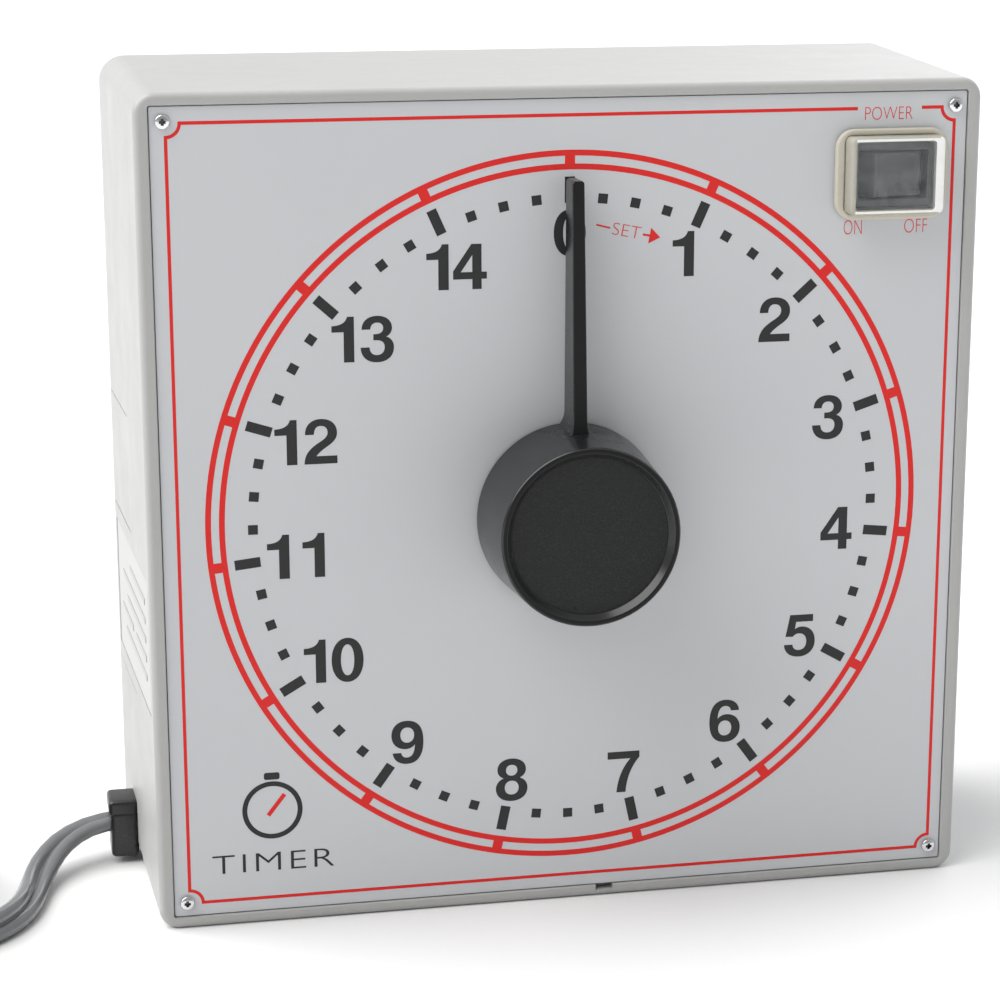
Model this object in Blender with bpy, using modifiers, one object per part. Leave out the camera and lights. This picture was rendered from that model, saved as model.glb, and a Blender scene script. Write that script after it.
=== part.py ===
"""Mains-powered bench timer: square moulded case, dial face, pointer knob and rocker switch.

The numbers below are millimetres.  The origin is under the middle of the object, on the
surface that it stands on, +X is to the right, +Y goes from the face to the back, +Z is up.
"Depth" is counted backwards from the printed face, and "height" forwards from it.
"""
import math

import bmesh
import bpy
from mathutils import Matrix, Vector

MM = 0.001

# Driving dimensions: the case
CASE_WIDTH = 190.5
CASE_HEIGHT = 189.5
CASE_DEPTH = 70.0
CASE_FLARE = 3.25
CASE_CORNER = 6.0
RIM_PROUD = 0.6
RIM_ROUND = 2.6
WALL = 2.6
LEDGE_DEPTH = 2.6
LEDGE_BACK = 5.0
LEDGE_WIDTH = 8.0
KNOB_HEIGHT = 23.0
FACE_Y = -(CASE_DEPTH - KNOB_HEIGHT) / 2
GAP = 0.3
SIDE_NOTCHES = [(3.0, 46.0), (85.0, 113.0)]
NOTCH_DEPTH = 34.0
NOTCH_GAP = 0.4
FLANGE_THICK = 1.5
LABEL_DEPTHS = (4.0, 66.0)
LABEL_ZS = (50.0, 81.0)
POST_HALF = 5.0

# The rear cover
COVER_DEPTHS = (66.0, 68.6)
COVER_SEAT = COVER_DEPTHS[1] + GAP
COVER_PLAY = 0.4
COVER_SCREWS = [(-86.0, 181.0), (86.0, 181.0), (-86.5, 27.0), (86.5, 27.0)]
POST_END = COVER_DEPTHS[0] - GAP
KEYHOLE_X = 38.0
KEYHOLE_Z = 150.0
KEYHOLE_R = 4.6
KEYHOLE_SLOT = 2.3
KEYHOLE_RISE = 10.0
VENT_ROWS = 6
VENT_WIDTH = 40.0
VENT_Z = 30.0

# The face plate and the dial on it
PANEL = 183.3
PANEL_Z = CASE_HEIGHT / 2
PANEL_CORNER = 1.2
PANEL_GAP = 0.4
DIAL_Z = 93.0
OVERLAY_THICK = 0.4
PLATE_FRONT = OVERLAY_THICK + GAP
PLATE_BACK = 2.3
SCREW_X = 89.0
SCREW_Z = 88.6
PANEL_SCREWS = [(sx * SCREW_X, PANEL_Z + sz * SCREW_Z) for sz in (1, -1) for sx in (-1, 1)]
PRY_NOTCH = (6.7, 10.9)
PRY_Z = PANEL_Z - PANEL / 2 - PANEL_GAP

# The dial's shaft and its knob
SHAFT_R = 3.175
RUNNING_R = 3.25
KNOB_BASE_R = 21.5
KNOB_FRONT_R = 19.5
KNOB_DISH = 1.6
POINTER_REACH = 76.4
POINTER_ROOT_Z = 19.9
POINTER_ROOT_HALF = 1.6
POINTER_TIP_HALF = 1.35
POINTER_BACK = 2.0
POINTER_ROOT_HEIGHT = 11.6
POINTER_TIP_HEIGHT = 8.5
POINTER_FLARE = 3.4
SET_SCREW_HEIGHT = 11.0

# The movement
MODULE = 0.8
OUTPUT_TEETH = 60
IDLER_TEETH = 36
PINION_TEETH = 12
MESH_PLAY = 0.12
FRONT_PLATE = (12.0, 13.5)
REAR_PLATE = (30.0, 31.5)
IDLER_ANGLE = math.radians(215)
MOTOR_ANGLE = math.radians(265)
MOTOR_R = 24.0
CAM_R = 14.0
CAM_DEPTHS = (33.0, 36.0)
CAM_NOTCH = math.radians(14)

# The alarm: a switch that the cam works, and a buzzer
LEVER_PIVOT_X = -8.5
LEVER_PIVOT_Z = 111.6
LEVER_REACH = 8.5
BUZZER = (58.0, 76.0)
BUZZER_BACK = COVER_DEPTHS[0] - GAP

# The power switch, right of and above the dial
SWITCH_X = 73.9
SWITCH_Z = 168.4
ROCKER_PIVOT = 1.5
ROCKER_TILT = math.radians(10)
ROCKER_R = 7.6

# The power cord, a flat twin lead
CORD_THICK = 3.6
GLAND_DEPTH = 48.0
GLAND_HALF = 5.0
WALL_PLAY = 0.75
COIL_X = -182.5
COIL_DEPTH = 31.0
COIL_R = 40.0
COIL_HALF = 8.4
COIL_TALL = 15.4
PLUG_X = -227.5
PLUG_DEPTH = 82.0
PLUG_LENGTH = 26.0
PLUG_Z = 6.6

# Where the cord runs, from inside the gland to the coil: x, depth, z
CORD_ROUTE = [
    (-92.5, 48.0, 9.7), (-98.5, 48.0, 9.7), (-102.5, 48.0, 9.7), (-108.3, 47.3, 9.2), (-113.6, 44.6, 7.8),
    (-117.6, 40.2, 6.1), (-120.4, 34.6, 4.4), (-122.2, 28.0, 3.0), (-123.4, 21.0, 2.2), (-124.6, 14.2, 1.9),
    (-126.8, 7.8, 1.85), (-130.4, 2.0, 1.85), (-135.4, -2.8, 1.85), (-141.4, -6.2, 1.85),
    (-148.0, -8.6, 1.85), (-155.0, -10.9, 1.85),
]
# And from the coil to the plug
TAIL_ROUTE = [
    (-232.9, 32.0, 10.8), (-233.0, 39.0, 9.8), (-232.3, 46.0, 8.6), (-230.9, 53.0, 7.6), (-229.3, 60.0, 6.9),
    (-227.9, 67.7, 6.6),
]

FRONT_TURN = Matrix.Rotation(math.pi / 2, 4, "X")


for stale in list(bpy.data.objects):
    bpy.data.objects.remove(stale, do_unlink=True)

PARTS = bpy.data.collections.new("lab_timer")
CUTTERS = bpy.data.collections.new("cutters")
bpy.context.scene.collection.children.link(PARTS)
bpy.context.scene.collection.children.link(CUTTERS)


# Materials -----------------------------------------------------------------------------------

def finish(name, colour, roughness, metallic=0.0, clear=0.0):
    """Make a plain Principled finish, see-through where clear is above zero."""
    made = bpy.data.materials.new(name)
    made.use_nodes = True
    shader = made.node_tree.nodes["Principled BSDF"]
    shader.inputs["Base Color"].default_value = (*colour, 1.0)
    shader.inputs["Roughness"].default_value = roughness
    shader.inputs["Metallic"].default_value = metallic
    shader.inputs["Transmission Weight"].default_value = clear
    made.diffuse_color = (*colour, 1.0 - 0.6 * clear)
    made.roughness = roughness
    made.metallic = metallic
    return made


CASE_PLASTIC = finish("case_plastic", (0.80, 0.80, 0.78), 0.45)
FACE_FILM = finish("face_film", (0.56, 0.57, 0.59), 0.35)
LABEL_FILM = finish("label_film", (0.84, 0.84, 0.83), 0.25)
ALUMINIUM = finish("aluminium", (0.70, 0.70, 0.71), 0.40, 1.0)
BLACK_PLASTIC = finish("black_plastic", (0.025, 0.027, 0.028), 0.45)
DARK_GREY_PLASTIC = finish("dark_grey_plastic", (0.07, 0.08, 0.08), 0.35)
CREAM_RUBBER = finish("cream_rubber", (0.60, 0.58, 0.50), 0.55)
CLEAR_VINYL = finish("clear_vinyl", (0.90, 0.91, 0.90), 0.12, 0.0, 0.9)
SCREW_STEEL = finish("screw_steel", (0.72, 0.72, 0.73), 0.25, 1.0)
ZINC_STEEL = finish("zinc_steel", (0.62, 0.62, 0.60), 0.38, 1.0)
BRASS = finish("brass", (0.75, 0.58, 0.28), 0.32, 1.0)
NYLON = finish("nylon", (0.84, 0.82, 0.74), 0.50)
PHENOLIC = finish("phenolic", (0.16, 0.07, 0.03), 0.50)
COPPER_WINDING = finish("copper_winding", (0.60, 0.22, 0.08), 0.30, 1.0)
CORD_VINYL = finish("cord_vinyl", (0.30, 0.31, 0.33), 0.40)
WIRE_BLACK = finish("wire_black", (0.03, 0.03, 0.03), 0.45)
WIRE_WHITE = finish("wire_white", (0.75, 0.75, 0.73), 0.45)


# Building blocks -----------------------------------------------------------------------------

def place(x, depth, z):
    """The point, in metres, that is x to the right, depth behind the face and z up."""
    return Vector((x, FACE_Y + depth, z)) * MM


def front_matrix(x, z, depth=0.0):
    """Local X to the right, local Y up and local Z towards the viewer, from a point of the face."""
    return Matrix.Translation(place(x, depth, z)) @ FRONT_TURN


def add_object(name, data, material, matrix=None, cutter=False):
    """Put the mesh or curve into the scene as a named sub-part, or as a cutter."""
    made = bpy.data.objects.new(name, data)
    (CUTTERS if cutter else PARTS).objects.link(made)
    if cutter:
        made.hide_render = True
        made.display_type = "WIRE"
    else:
        data.materials.append(material)
    made.matrix_world = matrix or Matrix.Identity(4)
    return made


def smooth_round_faces(data, degrees=40):
    """Shade the round stretches smooth and keep the edges between faces sharp."""
    data.shade_smooth()
    data.set_sharp_from_angle(angle=math.radians(degrees))


def mesh_from(bm, name):
    """Turn a finished bmesh into mesh data."""
    data = bpy.data.meshes.new(name)
    bm.to_mesh(data)
    bm.free()
    smooth_round_faces(data)
    return data


def block(name, x, depth, z, material, rounding=0.0, cutter=False, segments=2):
    """A box between two values in each direction, its edges rounded where asked."""
    bm = bmesh.new()
    bmesh.ops.create_cube(bm, size=1.0)
    low = place(x[0], depth[0], z[0])
    high = place(x[1], depth[1], z[1])
    size = high - low
    middle = (low + high) / 2
    bmesh.ops.scale(bm, vec=size, verts=bm.verts)
    if rounding:
        bmesh.ops.bevel(bm, geom=list(bm.edges), offset=rounding * MM, segments=segments, profile=0.5,
                        affect="EDGES", clamp_overlap=True)
    return add_object(name, mesh_from(bm, name), material, Matrix.Translation(middle), cutter)


def rod(name, x, z, heights, radius, material, sides=24, cutter=False):
    """A round bar across the face between two heights."""
    bm = bmesh.new()
    length = (heights[1] - heights[0]) * MM
    bmesh.ops.create_cone(bm, cap_ends=True, segments=sides, radius1=radius * MM, radius2=radius * MM,
                          depth=length)
    middle = (heights[0] + heights[1]) / 2
    return add_object(name, mesh_from(bm, name), material, front_matrix(x, z, -middle), cutter)


def turned(name, x, z, profile, material, sides=48, depth=0.0, closed=True):
    """A profile of (radius, height) points, outer side from the front backwards, spun about the local Z."""
    bm = bmesh.new()
    corners = [bm.verts.new((radius * MM, 0.0, height * MM)) for radius, height in profile]
    for first, second in zip(corners, corners[1:]):
        bm.edges.new((first, second))
    if closed:
        bm.edges.new((corners[-1], corners[0]))
    data = bpy.data.meshes.new(name)
    bm.to_mesh(data)
    bm.free()
    made = add_object(name, data, material, front_matrix(x, z, depth))
    spin = made.modifiers.new("spin", "SCREW")
    spin.steps = sides
    spin.render_steps = sides
    spin.use_merge_vertices = True
    spin.merge_threshold = 0.000002
    spin.use_smooth_shade = True
    return made


def add_loop(curve, points):
    """Add one closed straight-sided loop of (x, y) points to a flat curve."""
    loop = curve.splines.new("POLY")
    loop.points.add(len(points) - 1)
    for point, (px, py) in zip(loop.points, points):
        point.co = (px * MM, py * MM, 0.0, 1.0)
    loop.use_cyclic_u = True


def plate(name, x, z, outline, holes, depths, material, cutter=False):
    """A flat sheet parallel to the face, from an outline and the holes through it, as a mesh."""
    curve = bpy.data.curves.new(name, "CURVE")
    curve.dimensions = "2D"
    curve.fill_mode = "BOTH"
    curve.extrude = (depths[1] - depths[0]) / 2 * MM
    add_loop(curve, outline)
    for hole in holes:
        add_loop(curve, hole)
    drawn = add_object(name + "_outline", curve, material, front_matrix(x, z, sum(depths) / 2), cutter)
    return as_mesh(drawn, name, material, cutter)


def as_mesh(drawn, name, material, cutter=False):
    """Replace a curve object by a welded mesh of the same shape, in the same place."""
    bpy.context.view_layer.update()
    evaluated = drawn.evaluated_get(bpy.context.evaluated_depsgraph_get())
    data = bpy.data.meshes.new_from_object(evaluated)
    bm = bmesh.new()
    bm.from_mesh(data)
    bmesh.ops.remove_doubles(bm, verts=bm.verts, dist=0.000001)
    bm.to_mesh(data)
    bm.free()
    smooth_round_faces(data)
    data.name = name
    matrix = drawn.matrix_world.copy()
    bpy.data.objects.remove(drawn, do_unlink=True)
    if not cutter:
        data.materials.clear()
    return add_object(name, data, material, matrix, cutter)


def circle(x, y, radius, sides=32):
    """The corners of a round hole or disc."""
    steps = [2 * math.pi * i / sides for i in range(sides)]
    return [(x + radius * math.cos(a), y + radius * math.sin(a)) for a in steps]


def rounded_rectangle(x, y, width, height, radius, steps=5):
    """The corners of a rectangle about (x, y) with quarter-round corners."""
    points = []
    for quarter, (sx, sy) in enumerate(((1, 1), (-1, 1), (-1, -1), (1, -1))):
        cx = x + sx * (width / 2 - radius)
        cy = y + sy * (height / 2 - radius)
        for step in range(steps + 1):
            angle = math.pi / 2 * (quarter + step / steps)
            points.append((cx + radius * math.cos(angle), cy + radius * math.sin(angle)))
    return points


def combine(target, tool, operation):
    """Cut a tool away from the target, or join the tool to it, with an exact Boolean."""
    change = target.modifiers.new(operation.lower(), "BOOLEAN")
    change.operation = operation
    change.solver = "EXACT"
    change.object = tool


def cut(target, tool):
    combine(target, tool, "DIFFERENCE")


def join(target, tool):
    combine(target, tool, "UNION")


def smooth_route(points, spacing):
    """Points about one spacing apart on a smooth curve through the route's points."""
    knots = [Vector(p) for p in points]
    ends = [2 * knots[0] - knots[1]] + knots + [2 * knots[-1] - knots[-2]]
    dense = []
    for a, b, c, d in zip(ends, ends[1:], ends[2:], ends[3:]):
        for step in range(20):
            t = step / 20
            square = (2 * a - 5 * b + 4 * c - d) * t ** 2
            cube = (3 * b - a - 3 * c + d) * t ** 3
            dense.append((2 * b + (c - a) * t + square + cube) / 2)
    dense.append(knots[-1])
    lengths = [0.0]
    for first, second in zip(dense, dense[1:]):
        lengths.append(lengths[-1] + (second - first).length)
    count = max(2, round(lengths[-1] / spacing))
    wanted = [lengths[-1] * i / count for i in range(count + 1)]
    picked = []
    place_at = 0
    for length in wanted:
        while place_at < len(lengths) - 2 and lengths[place_at + 1] < length:
            place_at += 1
        step = lengths[place_at + 1] - lengths[place_at]
        share = (length - lengths[place_at]) / step if step else 0.0
        picked.append(dense[place_at].lerp(dense[place_at + 1], min(max(share, 0.0), 1.0)))
    return picked


def tube(name, points, radius, material, spacing):
    """A round wire along a route of (x, depth, z) points."""
    curve = bpy.data.curves.new(name, "CURVE")
    curve.dimensions = "3D"
    curve.bevel_depth = radius * MM
    curve.bevel_resolution = 2
    curve.use_fill_caps = True
    route = smooth_route(points, spacing)
    line = curve.splines.new("POLY")
    line.points.add(len(route) - 1)
    for point, spot in zip(line.points, route):
        point.co = (*place(*spot), 1.0)
    return add_object(name, curve, material)


# Case ----------------------------------------------------------------------------------------

def wall_x(depth):
    """How far the outer wall of the case is from the middle at a depth."""
    return CASE_WIDTH / 2 + CASE_FLARE * depth / CASE_DEPTH


def tapered_box(name, inset, depths, z_low, material, corner, rim=0.0, cutter=False):
    """A box inside the case's flare: both sides and the top lean outwards, the bottom is level."""
    bm = bmesh.new()
    bmesh.ops.create_cube(bm, size=2.0)
    for corner_vert in bm.verts:
        depth = depths[0] if corner_vert.co.y < 0 else depths[1]
        side = 1 if corner_vert.co.x > 0 else -1
        top = CASE_HEIGHT + CASE_FLARE * depth / CASE_DEPTH - inset
        z = top if corner_vert.co.z > 0 else z_low
        corner_vert.co = place(side * (wall_x(depth) - inset), depth, z)
    long_edges = [e for e in bm.edges if abs(e.verts[0].co.y - e.verts[1].co.y) > 0.001]
    bmesh.ops.bevel(bm, geom=long_edges, offset=corner * MM, segments=6, profile=0.5, affect="EDGES")
    if rim:
        front = place(0, depths[0], 0).y
        edges = [e for e in bm.edges if all(abs(v.co.y - front) < 1e-6 for v in e.verts)]
        bmesh.ops.bevel(bm, geom=edges, offset=rim * MM, segments=4, profile=0.5, affect="EDGES")
    return add_object(name, mesh_from(bm, name), material, None, cutter)


def make_housing():
    housing = tapered_box("housing", 0.0, (-RIM_PROUD, CASE_DEPTH), 0.0, CASE_PLASTIC, CASE_CORNER, RIM_ROUND)

    recess = rounded_rectangle(0, 0, PANEL + 2 * PANEL_GAP, PANEL + 2 * PANEL_GAP, PANEL_CORNER + PANEL_GAP)
    cut(housing, plate("panel_recess", 0, PANEL_Z, recess, [], (-5, LEDGE_DEPTH), None, True))
    opening = PANEL + 2 * PANEL_GAP - 2 * LEDGE_WIDTH
    window = rounded_rectangle(0, 0, opening, opening, 4)
    cut(housing, plate("ledge_window", 0, PANEL_Z, window, [], (0, LEDGE_BACK + 2), None, True))
    cut(housing, tapered_box("inner_space", WALL, (LEDGE_BACK, CASE_DEPTH + 5), WALL, None, 4.0, 0.0, True))

    for number, (x, z) in enumerate(COVER_SCREWS, 1):
        post = block(f"post_{number}", (x - POST_HALF, x + POST_HALF), (LEDGE_BACK - 1, POST_END),
                     (z - POST_HALF, z + POST_HALF), None, 0, True)
        cut(post, rod(f"post_bore_{number}", x, z, (-POST_END - 5, -POST_END + 14), 1.7, None, 16, True))
        join(housing, post)
    for number, (x, z) in enumerate(PANEL_SCREWS, 1):
        cut(housing, rod(f"ledge_bore_{number}", x, z, (-LEDGE_BACK - 6, 1), 1.5, None, 16, True))
    for number, (low, high) in enumerate(SIDE_NOTCHES, 1):
        depths = (NOTCH_DEPTH, CASE_DEPTH + 5)
        cut(housing, block(f"notch_{number}", (-110, -90), depths, (low, high), None, 0, True))
    cut(housing, slanted_block("label_pocket", (LABEL_DEPTHS[0] - GAP, LABEL_DEPTHS[1] + GAP),
                               (LABEL_ZS[0] - GAP, LABEL_ZS[1] + GAP), (-4.0, 0.7), None, True))
    cut(housing, block("pry_notch", PRY_NOTCH, (-3, LEDGE_DEPTH), (PRY_Z - 1.1, PRY_Z + 3), None, 0, True))
    return housing


def slanted_block(name, depths, zs, insets, material, cutter=False):
    """A block whose two long faces run parallel to the case's left wall, at insets from its outside."""
    bm = bmesh.new()
    bmesh.ops.create_cube(bm, size=2.0)
    for corner in bm.verts:
        depth = depths[0] if corner.co.y < 0 else depths[1]
        inset = insets[0] if corner.co.x < 0 else insets[1]
        z = zs[0] if corner.co.z < 0 else zs[1]
        corner.co = place(-wall_x(depth) + inset, depth, z)
    return add_object(name, mesh_from(bm, name), material, None, cutter)


def make_side_plate(name, zs):
    """A plate that slides into a side notch: its face is flush, and a wider flange sits behind the wall."""
    depths = (NOTCH_DEPTH + NOTCH_GAP, CASE_DEPTH)
    inner = WALL + FLANGE_THICK
    body = slanted_block(name, depths, (zs[0] + NOTCH_GAP, zs[1] - NOTCH_GAP), (0.05, inner), CASE_PLASTIC)
    flange = slanted_block(name + "_flange", (NOTCH_DEPTH - 3, COVER_DEPTHS[0] - GAP),
                           (max(7.2, zs[0] - 3), zs[1] + 3), (WALL + GAP, inner + GAP), None, True)
    join(body, flange)
    trim = block(name + "_trim", (-110, -85), (COVER_DEPTHS[0] - GAP, CASE_DEPTH + 2), (zs[0] - 4, zs[1] + 4),
                 None, 0, True)
    keep_zs = (zs[0] - 6, zs[1] + 6)
    keep = slanted_block(name + "_keep", (0, CASE_DEPTH + 4), keep_zs, (-5.0, WALL), None, True)
    cut(trim, keep)
    cut(body, trim)
    shell = tapered_box(name + "_shell", 0.0, (-RIM_PROUD, CASE_DEPTH), 0.0, None, CASE_CORNER, 0.0, True)
    combine(body, shell, "INTERSECT")
    return body


def keyhole(x, z):
    """The outline of a wall-hanging slot: a round hole for the screw's head with a slot above it."""
    start = math.asin(KEYHOLE_SLOT / KEYHOLE_R)
    points = []
    for step in range(21):
        angle = math.pi / 2 + start + (2 * math.pi - 2 * start) * step / 20
        points.append((x + KEYHOLE_R * math.cos(angle), z + KEYHOLE_R * math.sin(angle)))
    for step in range(9):
        angle = math.pi * step / 8
        points.append((x + KEYHOLE_SLOT * math.cos(angle), z + KEYHOLE_RISE + KEYHOLE_SLOT * math.sin(angle)))
    return points


def make_rear_cover():
    width = 2 * (wall_x(COVER_DEPTHS[0]) - WALL - COVER_PLAY)
    top = CASE_HEIGHT + CASE_FLARE * COVER_DEPTHS[0] / CASE_DEPTH - WALL - COVER_PLAY
    bottom = WALL + COVER_PLAY
    middle = (top + bottom) / 2
    outline = rounded_rectangle(0, 0, width, top - bottom, 3.6)
    holes = [circle(x, z - middle, 2.0, 20) for x, z in COVER_SCREWS]
    holes += [keyhole(x, KEYHOLE_Z - middle) for x in (-KEYHOLE_X, KEYHOLE_X)]
    for row in range(VENT_ROWS):
        holes.append(rounded_rectangle(0, VENT_Z + 6 * row - middle, VENT_WIDTH, 2.2, 1.0, 2))
    plate("rear_cover", 0, middle, outline, holes, COVER_DEPTHS, CASE_PLASTIC)


def make_screw(name, x, z, seat, head, head_height, shank, length, backward, material):
    """A pan-head screw with a cross recess: it points to the back from the front, or the other way."""
    profile = [
        (0.0, head_height), (head * 0.6, head_height), (head * 0.9, head_height * 0.7),
        (head, head_height * 0.3), (head, 0.0), (shank, 0.0), (shank, -length + shank), (0.0, -length),
    ]
    screw = turned(name, x, z, profile, material, 16, seat, False)
    if backward:
        screw.matrix_world = Matrix.Translation(place(x, seat, z)) @ Matrix.Rotation(-math.pi / 2, 4, "X")
    for turn in (0, 1):
        long_side, short_side = (head * 0.62, head * 0.16) if turn else (head * 0.16, head * 0.62)
        reach = (seat + head_height * 0.35, seat + 3) if backward else (seat - 3, seat - head_height * 0.35)
        cut(screw, block(f"{name}_drive_{turn}", (x - long_side, x + long_side), reach,
                         (z - short_side, z + short_side), None, 0, True))
    return screw


# Face ----------------------------------------------------------------------------------------

def make_face():
    outline = rounded_rectangle(0, 0, PANEL, PANEL, PANEL_CORNER)
    dial = DIAL_Z - PANEL_Z
    switch = rounded_rectangle(SWITCH_X, SWITCH_Z - PANEL_Z, 18.6, 14.4, 0.6, 2)
    for name, depths, screw_hole, material in (
        ("dial_overlay", (0.0, OVERLAY_THICK), 1.4, FACE_FILM),
        ("face_plate", (PLATE_FRONT, PLATE_BACK), 1.4, ALUMINIUM),
    ):
        holes = [circle(x, z - PANEL_Z, screw_hole, 16) for x, z in PANEL_SCREWS]
        holes += [circle(0, dial, 5.1), switch]
        plate(name, 0, PANEL_Z, outline, holes, depths, material)
    for number, (x, z) in enumerate(PANEL_SCREWS, 1):
        make_screw(f"face_screw_{number}", x, z, -GAP, 1.65, 0.9, 1.1, 9.0, False, SCREW_STEEL)


# Knob and shaft ------------------------------------------------------------------------------

def make_knob():
    edge = 0.8
    outer = [(17.7, KNOB_HEIGHT - KNOB_DISH), (19.0, KNOB_HEIGHT), (KNOB_FRONT_R, KNOB_HEIGHT)]
    for step in range(1, 5):
        angle = math.pi / 2 * step / 4
        radius = KNOB_FRONT_R - 0.1 + edge * math.sin(angle)
        outer.append((radius, KNOB_HEIGHT - edge + edge * math.cos(angle)))
    profile = [(0.0, KNOB_HEIGHT - KNOB_DISH)] + outer + [
        (KNOB_BASE_R, 1.2), (19.2, 1.2), (17.9, 18.6), (8.0, 18.6), (8.0, 4.6), (5.1, 4.6), (5.1, 17.2),
        (0.0, 17.2),
    ]
    knob = turned("pointer_knob", 0, DIAL_Z, profile, BLACK_PLASTIC, 48, 0.0, False)
    join(knob, make_pointer())
    cut(knob, radial_cutter("set_screw_way", 2.2, 3.5, 30))

    insert = [(4.75, 16.8), (4.75, 4.9), (RUNNING_R, 4.9), (RUNNING_R, 16.8)]
    insert_ring = turned("knob_insert", 0, DIAL_Z, insert, BRASS, 32)
    cut(insert_ring, radial_cutter("insert_way", 2.2, 3.0, 8))
    screw = radial_cutter("knob_set_screw", 1.85, 3.6, 9.6)
    CUTTERS.objects.unlink(screw)
    PARTS.objects.link(screw)
    screw.hide_render = False
    screw.display_type = "TEXTURED"
    screw.data.materials.append(SCREW_STEEL)
    socket = radial_cutter("set_screw_socket", 0.95, 7.4, 12, 6)
    cut(screw, socket)


def radial_cutter(name, radius, start, end, sides=20):
    """A round bar that points straight down from the knob's axis, in the plane of its set screw."""
    bm = bmesh.new()
    bmesh.ops.create_cone(bm, cap_ends=True, segments=sides, radius1=radius * MM, radius2=radius * MM,
                          depth=(end - start) * MM)
    middle = place(0, -SET_SCREW_HEIGHT, DIAL_Z - (start + end) / 2)
    return add_object(name, mesh_from(bm, name), None, Matrix.Translation(middle), True)


def make_pointer():
    """The long flat hand that is moulded onto the knob: its root flares and its front slopes to the tip."""
    half = [(POINTER_ROOT_HALF + POINTER_FLARE, POINTER_ROOT_Z)]
    for step in range(5):
        angle = math.pi / 2 * step / 4
        x = POINTER_ROOT_HALF + POINTER_FLARE * (1 - math.sin(angle))
        half.append((x, POINTER_ROOT_Z + 1.4 + POINTER_FLARE * (1 - math.cos(angle))))
    half += [(POINTER_TIP_HALF, POINTER_REACH - 0.6), (POINTER_TIP_HALF - 0.5, POINTER_REACH)]
    outline = half + [(-x, z) for x, z in reversed(half)]
    hand = plate("pointer_hand", 0, DIAL_Z, outline, [], (-POINTER_ROOT_HEIGHT, -POINTER_BACK), None, True)
    slope = (POINTER_ROOT_HEIGHT - POINTER_TIP_HEIGHT) / (POINTER_REACH - POINTER_ROOT_Z)
    for vertex in hand.data.vertices:
        if vertex.co.z > 0:
            vertex.co.z -= slope * max(0.0, vertex.co.y - POINTER_ROOT_Z * MM)
    return hand


def make_shaft():
    profile = [
        (0.0, 16.5), (SHAFT_R - 0.4, 16.5), (SHAFT_R, 16.1), (SHAFT_R, -13.9), (5.0, -13.9), (5.0, -14.7),
        (SHAFT_R, -14.7), (SHAFT_R, -40.0), (0.0, -40.0),
    ]
    turned("dial_shaft", 0, DIAL_Z, profile, ZINC_STEEL, 32, 0.0, False)
    bush = [
        (4.75, 3.9), (4.75, -2.6), (8.0, -2.6), (8.0, -4.6), (4.75, -4.6), (4.75, -8.0), (RUNNING_R, -8.0),
        (RUNNING_R, 3.9),
    ]
    turned("shaft_bushing", 0, DIAL_Z, bush, BRASS, 32)
    nut = [(7.2 * math.cos(math.radians(a)), 7.2 * math.sin(math.radians(a))) for a in range(0, 360, 60)]
    plate("bushing_nut", 0, DIAL_Z, nut, [circle(0, 0, 5.05, 32)], (-2.7, -GAP), BRASS)

    collar = [(6.5, -20.9), (6.5, -24.6), (3.4, -24.6), (3.4, -20.9)]
    collar_ring = turned("clutch_collar", 0, DIAL_Z, collar, BRASS, 32)
    way = block("collar_screw_way", (-1.3, 1.3), (21.4, 24.0), (DIAL_Z + 3.0, DIAL_Z + 8), None, 0, True)
    cut(collar_ring, way)
    make_wave_washer()

    outline = []
    for step in range(36):
        angle = math.pi / 2 + CAM_NOTCH + 2 * (math.pi - CAM_NOTCH) * step / 35
        outline.append((CAM_R * math.cos(angle), CAM_R * math.sin(angle)))
    low = CAM_R - 1.6
    outline += [(low * math.sin(a), low * math.cos(a)) for a in (math.radians(9), 0.0, math.radians(-9))]
    cam = plate("timing_cam", 0, DIAL_Z, outline, [circle(0, 0, 3.4, 24)], CAM_DEPTHS, PHENOLIC)
    hub = turned("cam_hub", 0, DIAL_Z, [(6.0, -35.0), (6.0, -39.0), (3.4, -39.0), (3.4, -35.0)], None, 24)
    PARTS.objects.unlink(hub)
    CUTTERS.objects.link(hub)
    hub.hide_render = True
    hub.display_type = "WIRE"
    join(cam, hub)


def make_wave_washer():
    """The waved spring washer that presses the gear against the shaft's shoulder."""
    bm = bmesh.new()
    steps = 30
    inner = []
    outer = []
    for step in range(steps):
        angle = 2 * math.pi * step / steps
        height = (-19.4 + 0.55 * math.sin(3 * angle)) * MM
        inner.append(bm.verts.new((3.5 * MM * math.cos(angle), 3.5 * MM * math.sin(angle), height)))
        outer.append(bm.verts.new((6.2 * MM * math.cos(angle), 6.2 * MM * math.sin(angle), height)))
    for step in range(steps):
        after = (step + 1) % steps
        bm.faces.new((inner[step], outer[step], outer[after], inner[after]))
    washer = add_object("clutch_spring", mesh_from(bm, "clutch_spring"), SCREW_STEEL, front_matrix(0, DIAL_Z))
    thick = washer.modifiers.new("thickness", "SOLIDIFY")
    thick.thickness = 0.35 * MM
    thick.offset = 0.0


# Movement ------------------------------------------------------------------------------------

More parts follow.
